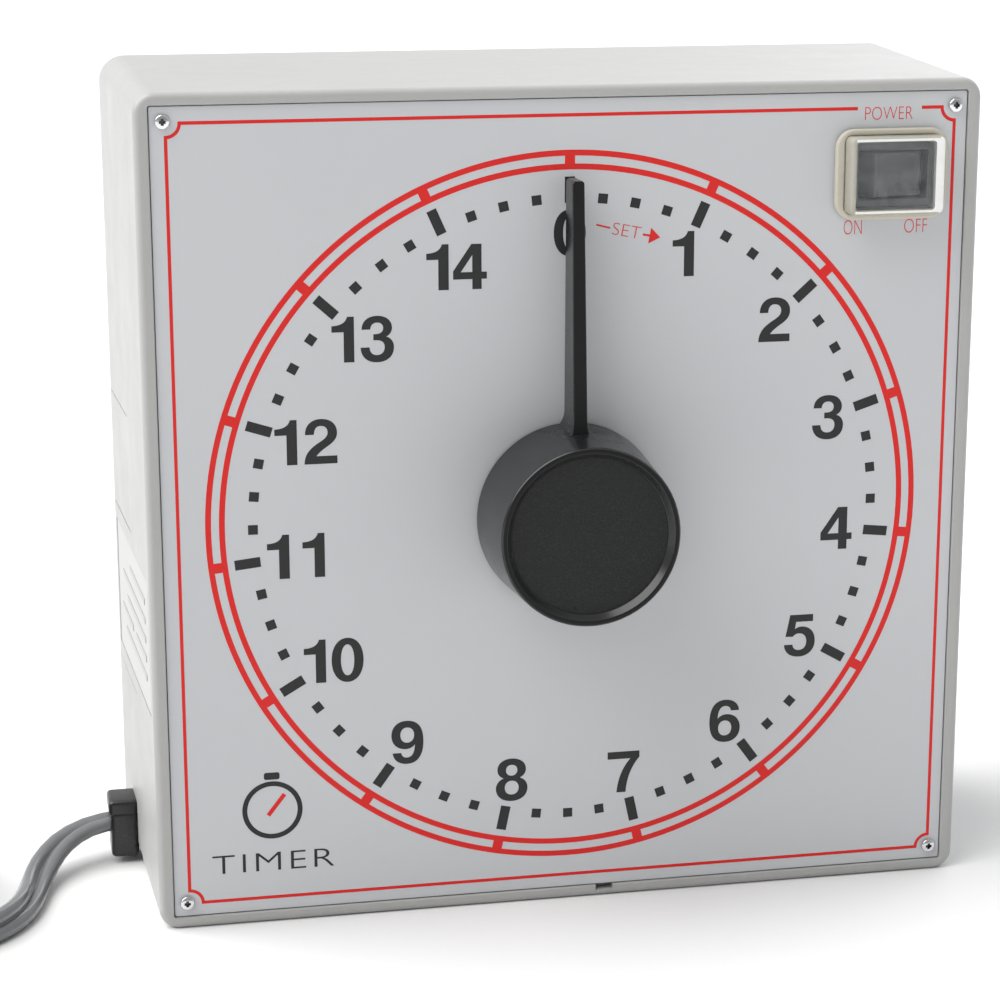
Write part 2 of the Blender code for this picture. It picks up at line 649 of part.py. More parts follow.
def gear_outline(teeth, phase, thin=0.10):
    """The outline of a spur gear with involute flanks, one tooth pointing along the phase angle."""
    pitch_r = MODULE * teeth / 2
    base_r = pitch_r * math.cos(math.radians(20))
    tip_r = pitch_r + MODULE
    root_r = pitch_r - 1.25 * MODULE

    def roll(radius):
        ratio = base_r / radius
        angle = math.acos(min(1.0, ratio))
        return math.tan(angle) - angle

    half_at_pitch = math.pi / (2 * teeth) - thin / pitch_r
    start = max(base_r, root_r)
    steps = 1 if teeth > 30 else 2
    flank = []
    for step in range(steps + 1):
        radius = start + (tip_r - start) * step / steps
        flank.append((radius, half_at_pitch + roll(pitch_r) - roll(radius)))
    if root_r < start:
        flank[0] = (root_r, flank[0][1])
    points = []
    for tooth in range(teeth):
        middle = phase + 2 * math.pi * tooth / teeth
        for radius, half in flank:
            points.append((radius * math.cos(middle - half), radius * math.sin(middle - half)))
        for radius, half in reversed(flank):
            points.append((radius * math.cos(middle + half), radius * math.sin(middle + half)))
    return points


def gear_centres():
    """Where the two gears beside the dial's shaft turn, from the tooth counts."""
    first = MODULE * (OUTPUT_TEETH + PINION_TEETH) / 2 + MESH_PLAY
    second = MODULE * (IDLER_TEETH + PINION_TEETH) / 2 + MESH_PLAY
    idler = (first * math.cos(IDLER_ANGLE), DIAL_Z + first * math.sin(IDLER_ANGLE))
    motor = (idler[0] + second * math.cos(MOTOR_ANGLE), idler[1] + second * math.sin(MOTOR_ANGLE))
    return idler, motor


def make_gears():
    (idler_x, idler_z), (motor_x, motor_z) = gear_centres()
    spokes = [circle(13.5 * math.cos(a), 13.5 * math.sin(a), 4.2, 12)
              for a in [2 * math.pi * i / 6 + 0.3 for i in range(6)]]
    openings = [circle(0, 0, RUNNING_R, 32)] + spokes
    plate("output_gear", 0, DIAL_Z, gear_outline(OUTPUT_TEETH, IDLER_ANGLE), openings, (15.0, 18.3), NYLON)

    gap_facing = math.pi + IDLER_ANGLE + math.pi / PINION_TEETH
    bore = circle(0, 0, 1.58, 24)
    pinion = plate("idler_gear", idler_x, idler_z, gear_outline(PINION_TEETH, gap_facing), [bore],
                   (14.4, 22.5), NYLON)
    hub_hole = circle(0, 0, 2.6, 24)
    wheel = plate("idler_wheel", idler_x, idler_z, gear_outline(IDLER_TEETH, MOTOR_ANGLE), [hub_hole],
                  (21.5, 24.5), None, True)
    join(pinion, wheel)
    gap_facing = math.pi + MOTOR_ANGLE + math.pi / PINION_TEETH
    motor_pinion = plate("motor_pinion", motor_x, motor_z, gear_outline(PINION_TEETH, gap_facing), [],
                         (20.0, 26.0), ZINC_STEEL)
    join(motor_pinion, rod("motor_pinion_shaft", motor_x, motor_z, (-36.0, -25.0), 1.5, None, 24, True))
    rod("idler_arbor", idler_x, idler_z, (-29.7, -13.8), 1.5, ZINC_STEEL)


def make_movement():
    (idler_x, idler_z), (motor_x, motor_z) = gear_centres()
    left, right, low, high = -47.0, 21.0, 32.0, 126.0
    middle_x = (left + right) / 2
    middle_z = (low + high) / 2
    outline = rounded_rectangle(0, 0, right - left, high - low, 5)
    posts = [(x, z) for x in (left + 5, right - 5) for z in (low + 5, high - 5)]
    shift = DIAL_Z - middle_z

    def holes(shaft_hole, post_hole):
        made = [circle(-middle_x, shift, shaft_hole, 32)]
        made += [circle(x - middle_x, z - middle_z, post_hole, 20) for x, z in posts]
        return made

    plate("movement_front_plate", middle_x, middle_z, outline, holes(3.6, 2.2), FRONT_PLATE, ZINC_STEEL)
    rear_holes = holes(3.6, 1.6) + [circle(motor_x - middle_x, motor_z - middle_z, 6.5, 24)]
    plate("movement_rear_plate", middle_x, middle_z, outline, rear_holes, REAR_PLATE, ZINC_STEEL)
    for number, (x, z) in enumerate(posts, 1):
        profile = [
            (0.0, -2.6), (3.0, -2.6), (3.0, -11.7), (1.9, -11.7), (1.9, -13.8), (3.0, -13.8), (3.0, -29.7),
            (1.4, -29.7), (1.4, -32.6), (0.0, -32.6),
        ]
        turned(f"movement_post_{number}", x, z, profile, BRASS, 12, 0.0, False)

    motor_profile = [
        (0.0, -33.3), (22.0, -33.3), (MOTOR_R - 0.6, -33.3), (MOTOR_R, -33.9), (MOTOR_R, -50.5),
        (MOTOR_R - 1.5, -52.0), (0.0, -52.0),
    ]
    can = turned("motor_can", motor_x, motor_z, motor_profile, ZINC_STEEL, 40, 0.0, False)
    cut(can, rod("motor_shaft_way", motor_x, motor_z, (-36.8, -30.0), 1.9, None, 24, True))
    ears = rounded_rectangle(0, 0, 58.0, 14.0, 6.9, 6)
    flange_holes = [circle(0, 0, 6.5, 24), circle(-26.0, 0, 1.7, 16), circle(26.0, 0, 1.7, 16)]
    flange = plate("motor_flange", motor_x, motor_z, ears, flange_holes, (31.8, 33.0), ZINC_STEEL)
    disc = plate("motor_flange_disc", motor_x, motor_z, circle(0, 0, MOTOR_R, 36), [circle(0, 0, 6.5, 24)],
                 (31.8, 33.0), None, True)
    join(flange, disc)


# Alarm ---------------------------------------------------------------------------------------

def make_alarm():
    switch = block("alarm_switch", (-10, 10), (32.0, 38.4), (113.5, 124.0), DARK_GREY_PLASTIC, 0.5)
    for x in (-6.5, 6.5):
        cut(switch, rod(f"switch_bore_{x}", x, 119.5, (-45, -25), 1.4, None, 16, True))
    nose = CAM_R + DIAL_Z + 0.35
    reach = LEVER_REACH
    tip = nose - LEVER_PIVOT_Z
    strip = [
        (-1.0, -0.25), (reach - 2.1, -0.25), (reach, tip), (reach + 2.1, -0.25), (17.0, -0.25), (17.0, 0.25),
        (reach + 1.8, 0.25), (reach, tip + 1.1), (reach - 1.8, 0.25), (-1.0, 0.25),
    ]
    plate("alarm_switch_lever", LEVER_PIVOT_X, LEVER_PIVOT_Z, strip, [], (33.2, 36.8), SCREW_STEEL)

    x, z = BUZZER
    frame = [(-15.0, 20.3), (-13.2, 20.3), (-13.2, 1.8), (13.2, 1.8), (13.2, 14.0), (15.0, 14.0), (15.0, 0.0),
             (-15.0, 0.0)]
    yoke = lying(frame, "buzzer_frame", x, z, ZINC_STEEL, 10.0)
    join(yoke, rod("buzzer_core", x, z, (-65.0, -46.6), 3.0, None, 20, True))
    bobbin = [(9.0, -48.0), (9.0, -49.5), (8.0, -49.9), (8.0, -61.2), (9.0, -61.6), (9.0, -63.5),
              (3.3, -63.5), (3.3, -48.0)]
    turned("buzzer_coil", x, z, bobbin, COPPER_WINDING, 32)
    reed = [(-15.2, 20.6), (-15.2, 21.4), (13.5, 21.4), (13.5, 20.6)]
    lying(reed, "buzzer_armature", x, z, SCREW_STEEL, 8.0)


def lying(outline, name, x, z, material, half_width):
    """A strip drawn as (x, forward from the frame's back) and extended up and down by half its width."""
    curve = bpy.data.curves.new(name, "CURVE")
    curve.dimensions = "2D"
    curve.fill_mode = "BOTH"
    curve.extrude = half_width * MM
    add_loop(curve, outline)
    matrix = Matrix.Translation(place(x, BUZZER_BACK, z)) @ Matrix.Rotation(math.pi, 4, "X")
    return as_mesh(add_object(name + "_outline", curve, material, matrix), name, material)


# Power switch --------------------------------------------------------------------------------

def make_power_switch():
    x, z = SWITCH_X, SWITCH_Z
    frame = rounded_rectangle(0, 0, 26.2, 20.4, 4.2, 6)
    opening = rounded_rectangle(0, 0, 22.2, 17.6, 1.6, 3)
    boot_frame = plate("switch_boot_frame", x, z, frame, [opening], (-2.0, -GAP), CREAM_RUBBER)
    edge = boot_frame.modifiers.new("edge", "BEVEL")
    edge.width = 0.5 * MM
    edge.segments = 2
    edge.limit_method = "ANGLE"
    edge.angle_limit = math.radians(50)

    hood = block("switch_boot", (x - 10.7, x + 10.7), (-6.2, -GAP), (z - 8.4, z + 8.4), CLEAR_VINYL, 1.0)
    cut(hood, block("boot_inside", (x - 9.8, x + 9.8), (-5.4, 4.0), (z - 7.8, z + 7.8), None, 0.4, True))

    bezel = block("power_switch", (x - 9.2, x + 9.2), (-2.7, -GAP), (z - 7.4, z + 7.4), BLACK_PLASTIC, 0.5)
    body = block("switch_barrel", (x - 8.7, x + 8.7), (-1.2, 22.0), (z - 6.6, z + 6.6), None, 0, True)
    join(bezel, body)
    cut(bezel, block("rocker_space", (x - 8.1, x + 8.1), (-6.0, 7.2), (z - 5.4, z + 5.4), None, 0, True))
    for number, side in enumerate((-1, 1), 1):
        middle = x + side * 4.6
        blade = (middle - 0.4, middle + 0.4)
        block(f"switch_terminal_{number}", blade, (22.3, 30.0), (z - 2.4, z + 2.4), BRASS)

    curve = bpy.data.curves.new("power_rocker_outline", "CURVE")
    curve.dimensions = "2D"
    curve.fill_mode = "BOTH"
    curve.extrude = 5.0 * MM
    add_loop(curve, rocker_outline())
    pivot = Matrix.Translation(place(x, ROCKER_PIVOT, z)) @ Matrix.Rotation(ROCKER_TILT, 4, "Z")
    matrix = pivot @ Matrix.Rotation(math.pi, 4, "X")
    outline = add_object("power_rocker_outline", curve, None, matrix)
    rocker = as_mesh(outline, "power_rocker", DARK_GREY_PLASTIC)
    edge = rocker.modifiers.new("edge", "BEVEL")
    edge.width = 0.35 * MM
    edge.segments = 2
    edge.limit_method = "ANGLE"
    edge.angle_limit = math.radians(50)


def rocker_outline():
    """The side view of the rocker about its pivot: round ends, and a top that dips to the middle."""
    top = 5.0
    low = -3.2
    right = []
    for step in range(7):
        height = low + (top - low) * step / 6
        right.append((math.sqrt(ROCKER_R ** 2 - height ** 2), height))
    dip = [(0.0, top - 0.9)]
    return right + dip + [(-px, py) for px, py in reversed(right)]


# Wiring and power lead -----------------------------------------------------------------------

def make_wiring():
    block("terminal_block", (-76, -52), (50.0, 60.0), (8.0, 20.0), NYLON, 0.8)
    tube("live_wire", [(-91.0, 46.6, 9.7), (-87.0, 46.8, 9.7), (-82.0, 50.6, 10.6), (-76.6, 54.0, 12.0)], 0.8,
         WIRE_BLACK, 2.5)
    neutral = [(-91.0, 49.4, 9.7), (-87.0, 50.4, 10.6), (-82.0, 54.6, 13.4), (-76.6, 57.6, 16.0)]
    tube("neutral_wire", neutral, 0.8, WIRE_WHITE, 2.5)
    feed = [(-64.0, 55.0, 20.6), (-63.0, 52.0, 27.0), (-56.0, 44.0, 34.0), (-30.0, 34.0, 28.0),
            (10.0, 30.0, 27.0), (34.0, 29.0, 50.0), (38.0, 28.0, 100.0), (48.0, 30.0, 140.0),
            (62.0, 34.0, 160.0), (69.3, 36.0, 168.4), (69.3, 30.6, 168.4)]
    tube("switch_feed_wire", feed, 0.8, WIRE_BLACK, 8.0)
    motor = [(-58.0, 55.0, 20.6), (-57.0, 54.0, 28.0), (-50.0, 54.5, 40.0), (-40.0, 54.5, 50.0),
             (-32.0, 53.2, 56.0)]
    tube("motor_wire", motor, 0.8, WIRE_WHITE, 5.0)


def gland_depths(half):
    return GLAND_DEPTH - half, GLAND_DEPTH + half


def make_power_lead():
    wall = -wall_x(GLAND_DEPTH)
    outer = gland_depths(GLAND_HALF)
    body = block("strain_relief", (wall - 6.2, wall - WALL_PLAY), outer, (1.6, 13.2), BLACK_PLASTIC, 1.3)
    neck = block("relief_neck", (wall - 2.0, wall + 8.0), gland_depths(4.4), (3.8, 11.0), None, 0.5, True)
    join(body, neck)
    way = block("cord_way", (wall - 12, wall + 12), gland_depths(3.85), (7.5, 20.0), None, 0.0, True)
    cut(body, way)
    across = (wall - 6.6, wall - WALL_PLAY)
    wedge = block("strain_relief_wedge", across, outer, (13.5, 16.0), BLACK_PLASTIC, 0.9)
    tongue = block("wedge_tongue", (wall - 2.0, wall + 7.0), gland_depths(3.5), (12.1, 14.8), None, 0.4, True)
    join(wedge, tongue)

    tube("power_cord", CORD_ROUTE, CORD_THICK / 2 - 0.05, CORD_VINYL, 8.0)
    tube("power_cord_tail", TAIL_ROUTE, CORD_THICK / 2 - 0.05, CORD_VINYL, 8.0)
    coil = []
    for step in range(16):
        angle = 2 * math.pi * step / 16
        across = math.copysign(abs(math.cos(angle)) ** 0.5, math.cos(angle)) * COIL_HALF
        upward = math.copysign(abs(math.sin(angle)) ** 0.5, math.sin(angle)) * COIL_TALL / 2
        coil.append((COIL_R + across, COIL_TALL / 2 - upward))
    ring = turned("cord_coil", 0, 0, coil, CORD_VINYL, 48)
    ring.matrix_world = Matrix.Translation(place(COIL_X, COIL_DEPTH, 0.0))

    bm = bmesh.new()
    bmesh.ops.create_cube(bm, size=2.0)
    for corner in bm.verts:
        narrow = corner.co.y < 0
        half_x = 5.6 if narrow else 11.5
        half_z = 4.2 if narrow else 6.4
        corner.co = Vector((half_x * corner.co.x, PLUG_LENGTH / 2 * corner.co.y, half_z * corner.co.z)) * MM
    bmesh.ops.bevel(bm, geom=list(bm.edges), offset=2.6 * MM, segments=4, profile=0.5, affect="EDGES")
    add_object("plug_body", mesh_from(bm, "plug_body"), CORD_VINYL,
               Matrix.Translation(place(PLUG_X, PLUG_DEPTH, PLUG_Z)))
    for number, side in enumerate((-1, 1), 1):
        middle = PLUG_X + side * 6.35
        start = PLUG_DEPTH + PLUG_LENGTH / 2 + GAP
        blade = block(f"plug_blade_{number}", (middle - 0.75, middle + 0.75), (start, start + 17.0),
                      (PLUG_Z - 3.15, PLUG_Z + 3.15), BRASS, 0.35)
        cut(blade, block(f"blade_hole_{number}", (middle - 3, middle + 3), (start + 11.5, start + 14.5),
                         (PLUG_Z - 1.5, PLUG_Z + 1.5), None, 0, True))


make_housing()
make_rear_cover()
cord_plate = make_side_plate("cord_entry_plate", SIDE_NOTCHES[0])
cut(cord_plate, block("relief_hole", (-104, -88), gland_depths(4.7), (3.2, 15.2), None, 0.0, True))
make_side_plate("outlet_blank_plate", SIDE_NOTCHES[1])
slanted_block("side_label", LABEL_DEPTHS, LABEL_ZS, (0.1, 0.4), LABEL_FILM)
for number, (screw_x, screw_z) in enumerate(COVER_SCREWS, 1):
    make_screw(f"cover_screw_{number}", screw_x, screw_z, COVER_SEAT, 3.0, 1.05, 1.4, 12.0, True, ZINC_STEEL)
make_face()
make_knob()
make_shaft()
make_gears()
make_movement()
make_alarm()
make_power_switch()
make_wiring()
make_power_lead()
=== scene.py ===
"""Looks of the bench timer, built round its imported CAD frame.

Every length is in millimetres unless a name ends in _M, and is turned into metres where it is used.
"Height" is counted from the printed face towards the viewer, "depth" from it to the back.
"""
import math

import bmesh
import bpy
from mathutils import Matrix, Vector


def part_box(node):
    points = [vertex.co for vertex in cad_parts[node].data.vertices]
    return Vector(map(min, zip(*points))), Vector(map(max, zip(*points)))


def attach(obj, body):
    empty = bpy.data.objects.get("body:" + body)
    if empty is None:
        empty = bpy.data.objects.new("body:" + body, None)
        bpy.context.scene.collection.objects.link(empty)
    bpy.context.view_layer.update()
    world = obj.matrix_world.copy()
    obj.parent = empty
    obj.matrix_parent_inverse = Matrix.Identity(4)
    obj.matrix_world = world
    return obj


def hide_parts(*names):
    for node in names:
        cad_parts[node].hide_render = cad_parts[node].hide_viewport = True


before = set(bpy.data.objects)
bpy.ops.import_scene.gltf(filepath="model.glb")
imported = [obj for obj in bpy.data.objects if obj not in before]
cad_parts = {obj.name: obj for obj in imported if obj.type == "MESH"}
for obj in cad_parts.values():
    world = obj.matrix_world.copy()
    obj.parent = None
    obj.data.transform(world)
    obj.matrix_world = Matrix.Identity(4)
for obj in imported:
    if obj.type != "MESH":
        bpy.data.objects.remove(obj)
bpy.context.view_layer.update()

MM = 0.001
FILM_LOW, FILM_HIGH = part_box("dial_overlay")
SHAFT_LOW, SHAFT_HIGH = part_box("dial_shaft")
FACE_Y = FILM_LOW.y / MM
DIAL_X = (SHAFT_LOW.x + SHAFT_HIGH.x) / 2 / MM
DIAL_Z = (SHAFT_LOW.z + SHAFT_HIGH.z) / 2 / MM
PANEL_Z = (FILM_LOW.z + FILM_HIGH.z) / 2 / MM
FRONT_TURN = Matrix.Rotation(math.pi / 2, 4, "X")
BACK_TURN = Matrix.Rotation(math.pi, 4, "Z") @ FRONT_TURN


def place(x, depth, z):
    """The point, in metres, x to the right, depth behind the face and z up."""
    return Vector((x, FACE_Y + depth, z)) * MM


def face_matrix(x, z, height=0.0):
    """Local X right, local Y up and local Z towards the viewer, from a point of the face."""
    return Matrix.Translation(place(x, -height, z)) @ FRONT_TURN


# Camera and lights ----------------------------------------------------------------------------

CAMERA_FROM_DIAL = Vector((-0.12976, -0.56434, 0.14324))
CAMERA_YAW = 0.199064
CAMERA_PITCH = 0.237284
CAMERA_ROLL = -0.002651


def make_camera():
    data = bpy.data.cameras.new("camera")
    data.lens = 94.54
    data.sensor_width = 36.0
    data.clip_start = 0.05
    data.clip_end = 60.0
    camera = bpy.data.objects.new("camera", data)
    bpy.context.scene.collection.objects.link(camera)
    level = Vector((math.sin(CAMERA_YAW), math.cos(CAMERA_YAW), 0.0))
    up = Vector((0.0, 0.0, 1.0))
    right = Vector((math.cos(CAMERA_YAW), -math.sin(CAMERA_YAW), 0.0))
    ahead = level * math.cos(CAMERA_PITCH) - up * math.sin(CAMERA_PITCH)
    over = up * math.cos(CAMERA_PITCH) + level * math.sin(CAMERA_PITCH)
    side = right * math.cos(CAMERA_ROLL) + over * math.sin(CAMERA_ROLL)
    top = over * math.cos(CAMERA_ROLL) - right * math.sin(CAMERA_ROLL)
    turn = Matrix((side, top, -ahead)).transposed().to_4x4()
    camera.matrix_world = Matrix.Translation(place(DIAL_X, 0.0, DIAL_Z) + CAMERA_FROM_DIAL) @ turn
    bpy.context.scene.camera = camera


def make_sun(name, towards_light, strength, spread_deg, colour):
    data = bpy.data.lights.new(name, "SUN")
    data.energy = strength
    data.angle = math.radians(spread_deg)
    data.color = colour
    sun = bpy.data.objects.new(name, data)
    sun.rotation_mode = "QUATERNION"
    sun.rotation_quaternion = Vector(towards_light).to_track_quat("Z", "Y")
    bpy.context.scene.collection.objects.link(sun)


def make_world(brightness, dim_front):
    """An even pale studio, dimmer on the viewer's side."""
    world = bpy.data.worlds.new("studio")
    world.use_nodes = True
    background = world.node_tree.nodes["Background"]
    background.inputs["Color"].default_value = (0.985, 0.99, 1.0, 1.0)
    tree = world.node_tree
    direction = tree.nodes.new("ShaderNodeTexCoord")
    axes = tree.nodes.new("ShaderNodeSeparateXYZ")
    fade = tree.nodes.new("ShaderNodeMapRange")
    fade.interpolation_type = "SMOOTHSTEP"
    fade.inputs["From Min"].default_value = -1.0
    fade.inputs["From Max"].default_value = 0.1
    fade.inputs["To Min"].default_value = brightness * dim_front
    fade.inputs["To Max"].default_value = brightness
    tree.links.new(direction.outputs["Generated"], axes.inputs["Vector"])
    tree.links.new(axes.outputs["Y"], fade.inputs["Value"])
    tree.links.new(fade.outputs["Result"], background.inputs["Strength"])
    bpy.context.scene.world = world
    bpy.context.scene.view_settings.view_transform = "Standard"


# Node materials -------------------------------------------------------------------------------

class Nodes:
    """A material under construction, with short calls for the nodes that it needs."""

    def __init__(self, name):
        self.material = bpy.data.materials.new(name)
        self.material.use_nodes = True
        self.tree = self.material.node_tree
        self.shader = self.tree.nodes["Principled BSDF"]
        self.place = self.add("ShaderNodeTexCoord").outputs["Object"]

    def add(self, kind, **values):
        node = self.tree.nodes.new(kind)
        for key, value in values.items():
            setattr(node, key, value)
        return node

    def wire(self, source, target):
        self.tree.links.new(source, target)

    def noise(self, scale, detail=3.0, rough=0.55, stretch=None):
        """Noise whose lumps are about 1/scale metres across."""
        made = self.add("ShaderNodeTexNoise")
        made.inputs["Scale"].default_value = scale
        made.inputs["Detail"].default_value = detail
        made.inputs["Roughness"].default_value = rough
        if stretch:
            mapping = self.add("ShaderNodeMapping")
            mapping.inputs["Scale"].default_value = stretch
            self.wire(self.place, mapping.inputs["Vector"])
            self.wire(mapping.outputs["Vector"], made.inputs["Vector"])
        else:
            self.wire(self.place, made.inputs["Vector"])
        return made.outputs["Fac"]

    def cells(self, scale, feature="F1"):
        made = self.add("ShaderNodeTexVoronoi", feature=feature)
        made.inputs["Scale"].default_value = scale
        self.wire(self.place, made.inputs["Vector"])
        return made.outputs["Distance"]

    def ranged(self, source, low, high, start=0.0, end=1.0):
        """Move a 0 to 1 value into low to high."""
        made = self.add("ShaderNodeMapRange")
        made.inputs["From Min"].default_value = start
        made.inputs["From Max"].default_value = end
        made.inputs["To Min"].default_value = low
        made.inputs["To Max"].default_value = high
        self.wire(source, made.inputs["Value"])
        return made.outputs["Result"]

    def blend(self, amount, first, second):
        """A colour between two, by a 0 to 1 value."""
        made = self.add("ShaderNodeMix", data_type="RGBA")
        self.wire(amount, made.inputs["Factor"])
        for socket, value in ((made.inputs["A"], first), (made.inputs["B"], second)):
            if isinstance(value, tuple):
                socket.default_value = (*value, 1.0)
            else:
                self.wire(value, socket)
        return made.outputs["Result"]

    def sum(self, first, second, operation="ADD"):
        made = self.add("ShaderNodeMath", operation=operation)
        for socket, value in zip(made.inputs, (first, second)):
            if isinstance(value, (int, float)):
                socket.default_value = value
            else:
                self.wire(value, socket)
        return made.outputs["Value"]

    def bump(self, *layers):
        """Stack bumps, each a (value, depth in metres) pair."""
        normal = None
        for value, depth in layers:
            made = self.add("ShaderNodeBump")
            made.inputs["Distance"].default_value = depth
            self.wire(value, made.inputs["Height"])
            if normal:
                self.wire(normal, made.inputs["Normal"])
            normal = made.outputs["Normal"]
        self.wire(normal, self.shader.inputs["Normal"])

    def set(self, **values):
        for key, value in values.items():
            socket = self.shader.inputs[key.replace("_", " ")]
            if isinstance(value, bpy.types.NodeSocket):
                self.wire(value, socket)
            elif isinstance(value, tuple):
                socket.default_value = (*value, 1.0)
            else:
                socket.default_value = value
        return self.material


def moulded(name, dark, light, rough, grain, grain_depth, sheen=0.0, ior=1.5, gloss=0.5):
    """Moulded plastic: a cloudy tone, spark-eroded grain and the odd rubbed patch."""
    nodes = Nodes(name)
    cloud = nodes.noise(28.0, 4.0)
    speck = nodes.noise(grain * 0.6, 2.0, 0.7)
    tone = nodes.sum(nodes.ranged(cloud, 0.0, 0.75), nodes.ranged(speck, -0.15, 0.4))
    rubbed = nodes.noise(60.0, 6.0, 0.65)
    shine = nodes.ranged(rubbed, rough - 0.07, rough + 0.07, 0.3, 0.7)
    nodes.bump((nodes.noise(grain, 3.0, 0.6), grain_depth), (nodes.noise(90.0, 2.0), grain_depth * 4.0))
    return nodes.set(Base_Color=nodes.blend(tone, dark, light), Roughness=shine, IOR=ior, Sheen_Weight=sheen,
                     Specular_IOR_Level=gloss)


def metal(name, dark, light, rough, brushed=None, grain=1800.0, grain_depth=0.000006):
    """Bare metal with fine tool lines along the unstretched direction and slight stains."""
    nodes = Nodes(name)
    stain = nodes.noise(140.0, 5.0, 0.6)
    lines = nodes.noise(grain, 4.0, 0.7, brushed or (1.0, 1.0, 1.0))
    tone = nodes.blend(nodes.ranged(stain, 0.0, 1.0, 0.25, 0.75), dark, light)
    shine = nodes.sum(nodes.ranged(lines, rough - 0.08, rough + 0.08), nodes.ranged(stain, -0.04, 0.05))
    nodes.bump((lines, grain_depth))
    return nodes.set(Base_Color=tone, Roughness=shine, Metallic=1.0)


def printed(name, dark, light, rough=0.38):
    """Screen-printed ink: slightly uneven cover with a faint mesh of the screen."""
    nodes = Nodes(name)
    cover = nodes.noise(900.0, 3.0, 0.65)
    body = nodes.noise(55.0, 2.0)
    tone = nodes.sum(nodes.ranged(cover, 0.0, 0.6), nodes.ranged(body, 0.0, 0.4))
    nodes.bump((cover, 0.000006))
    shine = nodes.ranged(body, rough - 0.04, rough + 0.05)
    return nodes.set(Base_Color=nodes.blend(tone, dark, light), Roughness=shine, Specular_IOR_Level=0.25)


def film_material():
    """The matt polyester film of the dial: a cool light grey with a very fine grain and faint clouding."""
    nodes = Nodes("face_film")
    grain = nodes.noise(5200.0, 2.0, 0.6)
    cloud = nodes.noise(9.0, 3.0, 0.5)
    tone = nodes.sum(nodes.ranged(cloud, 0.05, 0.85), nodes.ranged(grain, -0.12, 0.15))
    nodes.bump((grain, 0.000010), (nodes.noise(240.0, 2.0), 0.000012))
    colour = nodes.blend(tone, (0.510, 0.524, 0.545), (0.585, 0.593, 0.608))
    return nodes.set(Base_Color=colour, Roughness=nodes.ranged(cloud, 0.54, 0.64), IOR=1.45)


def stipple_material():
    """The textured front of the knob: tight pebbled grain on black plastic."""
    nodes = Nodes("knob_front")
    pebbles = nodes.cells(2300.0)
    fine = nodes.noise(4200.0, 2.0, 0.6)
    patch = nodes.noise(160.0, 3.0)
    tone = nodes.sum(nodes.ranged(pebbles, 0.0, 0.9), nodes.ranged(patch, -0.1, 0.2))
    nodes.bump((nodes.ranged(pebbles, 1.0, 0.0), 0.00009), (fine, 0.00003))
    colour = nodes.blend(tone, (0.004, 0.004, 0.0045), (0.016, 0.017, 0.018))
    return nodes.set(Base_Color=colour, Roughness=nodes.ranged(patch, 0.46, 0.58), Specular_IOR_Level=0.3)


def clear_material(name, solid, colour, rough):
    """Clear vinyl: mostly see-through, its solid share set by how milky it is."""
    nodes = Nodes(name)
    haze = nodes.noise(420.0, 4.0, 0.6)
    nodes.bump((nodes.noise(160.0, 3.0), 0.00003))
    alpha = nodes.ranged(haze, solid - 0.03, solid + 0.05, 0.25, 0.75)
    shine = nodes.ranged(haze, rough - 0.02, rough + 0.05)
    return nodes.set(Base_Color=colour, Roughness=shine, Alpha=alpha, IOR=1.52)


CASE_PLASTIC = moulded("case_plastic", (0.375, 0.375, 0.369), (0.415, 0.415, 0.408), 0.42, 2600.0,
                       0.000022)
FACE_FILM = film_material()
LABEL_FILM = printed("label_film", (0.425, 0.425, 0.418), (0.475, 0.475, 0.467), 0.34)
LABEL_INK = printed("label_ink", (0.385, 0.385, 0.38), (0.43, 0.43, 0.425), 0.40)
DARK_INK = printed("dark_ink", (0.016, 0.016, 0.017), (0.030, 0.030, 0.032))
RED_INK = printed("red_ink", (0.60, 0.012, 0.010), (0.72, 0.022, 0.018))
ALUMINIUM = metal("aluminium", (0.62, 0.62, 0.63), (0.74, 0.74, 0.75), 0.38, (1.0, 1.0, 14.0))
BLACK_PLASTIC = moulded("black_plastic", (0.007, 0.0075, 0.008), (0.014, 0.0145, 0.015), 0.24, 3800.0,
                        0.000008)
RELIEF_PLASTIC = moulded("relief_plastic", (0.006, 0.0065, 0.0065), (0.014, 0.0145, 0.014), 0.30, 2600.0,
                         0.00002)
KNOB_FRONT = stipple_material()
HAND_BLACK = moulded("hand_black", (0.004, 0.0042, 0.0045), (0.009, 0.0092, 0.0095), 0.5, 3800.0,
                     0.00001, gloss=0.22)
DARK_GREY_PLASTIC = moulded("dark_grey_plastic", (0.040, 0.046, 0.048), (0.062, 0.069, 0.072), 0.34, 3000.0,
                            0.00001)
ROCKER_PLASTIC = moulded("rocker_plastic", (0.020, 0.023, 0.024), (0.034, 0.038, 0.040), 0.30, 3000.0,
                         0.00001)
CREAM_RUBBER = moulded("cream_rubber", (0.50, 0.47, 0.39), (0.57, 0.54, 0.455), 0.46, 2200.0, 0.00002,
                       sheen=0.1, ior=1.45)
CLEAR_WALL = clear_material("clear_wall", 0.66, (0.56, 0.54, 0.46), 0.16)
CLEAR_FRONT = clear_material("clear_front", 0.05, (0.72, 0.75, 0.76), 0.06)
# Near-white, mostly solid vinyl: a painted highlight for the lit edges and internal reflections of the clear
# cover
CLEAR_EDGE_HIGHLIGHT = clear_material("clear_edge_highlight", 0.88, (0.92, 0.93, 0.91), 0.14)
SCREW_STEEL = metal("screw_steel", (0.66, 0.67, 0.68), (0.82, 0.82, 0.83), 0.20)
# Darkened screw steel for the inside of the cross recess: painted shade in the recess
SCREW_RECESS_SHADE = metal("screw_recess_shade", (0.05, 0.052, 0.055), (0.12, 0.125, 0.13), 0.42)
ZINC_STEEL = metal("zinc_steel", (0.50, 0.50, 0.48), (0.66, 0.66, 0.62), 0.36, (1.0, 14.0, 1.0))
BRASS = metal("brass", (0.62, 0.44, 0.18), (0.80, 0.60, 0.28), 0.30, (1.0, 12.0, 1.0))
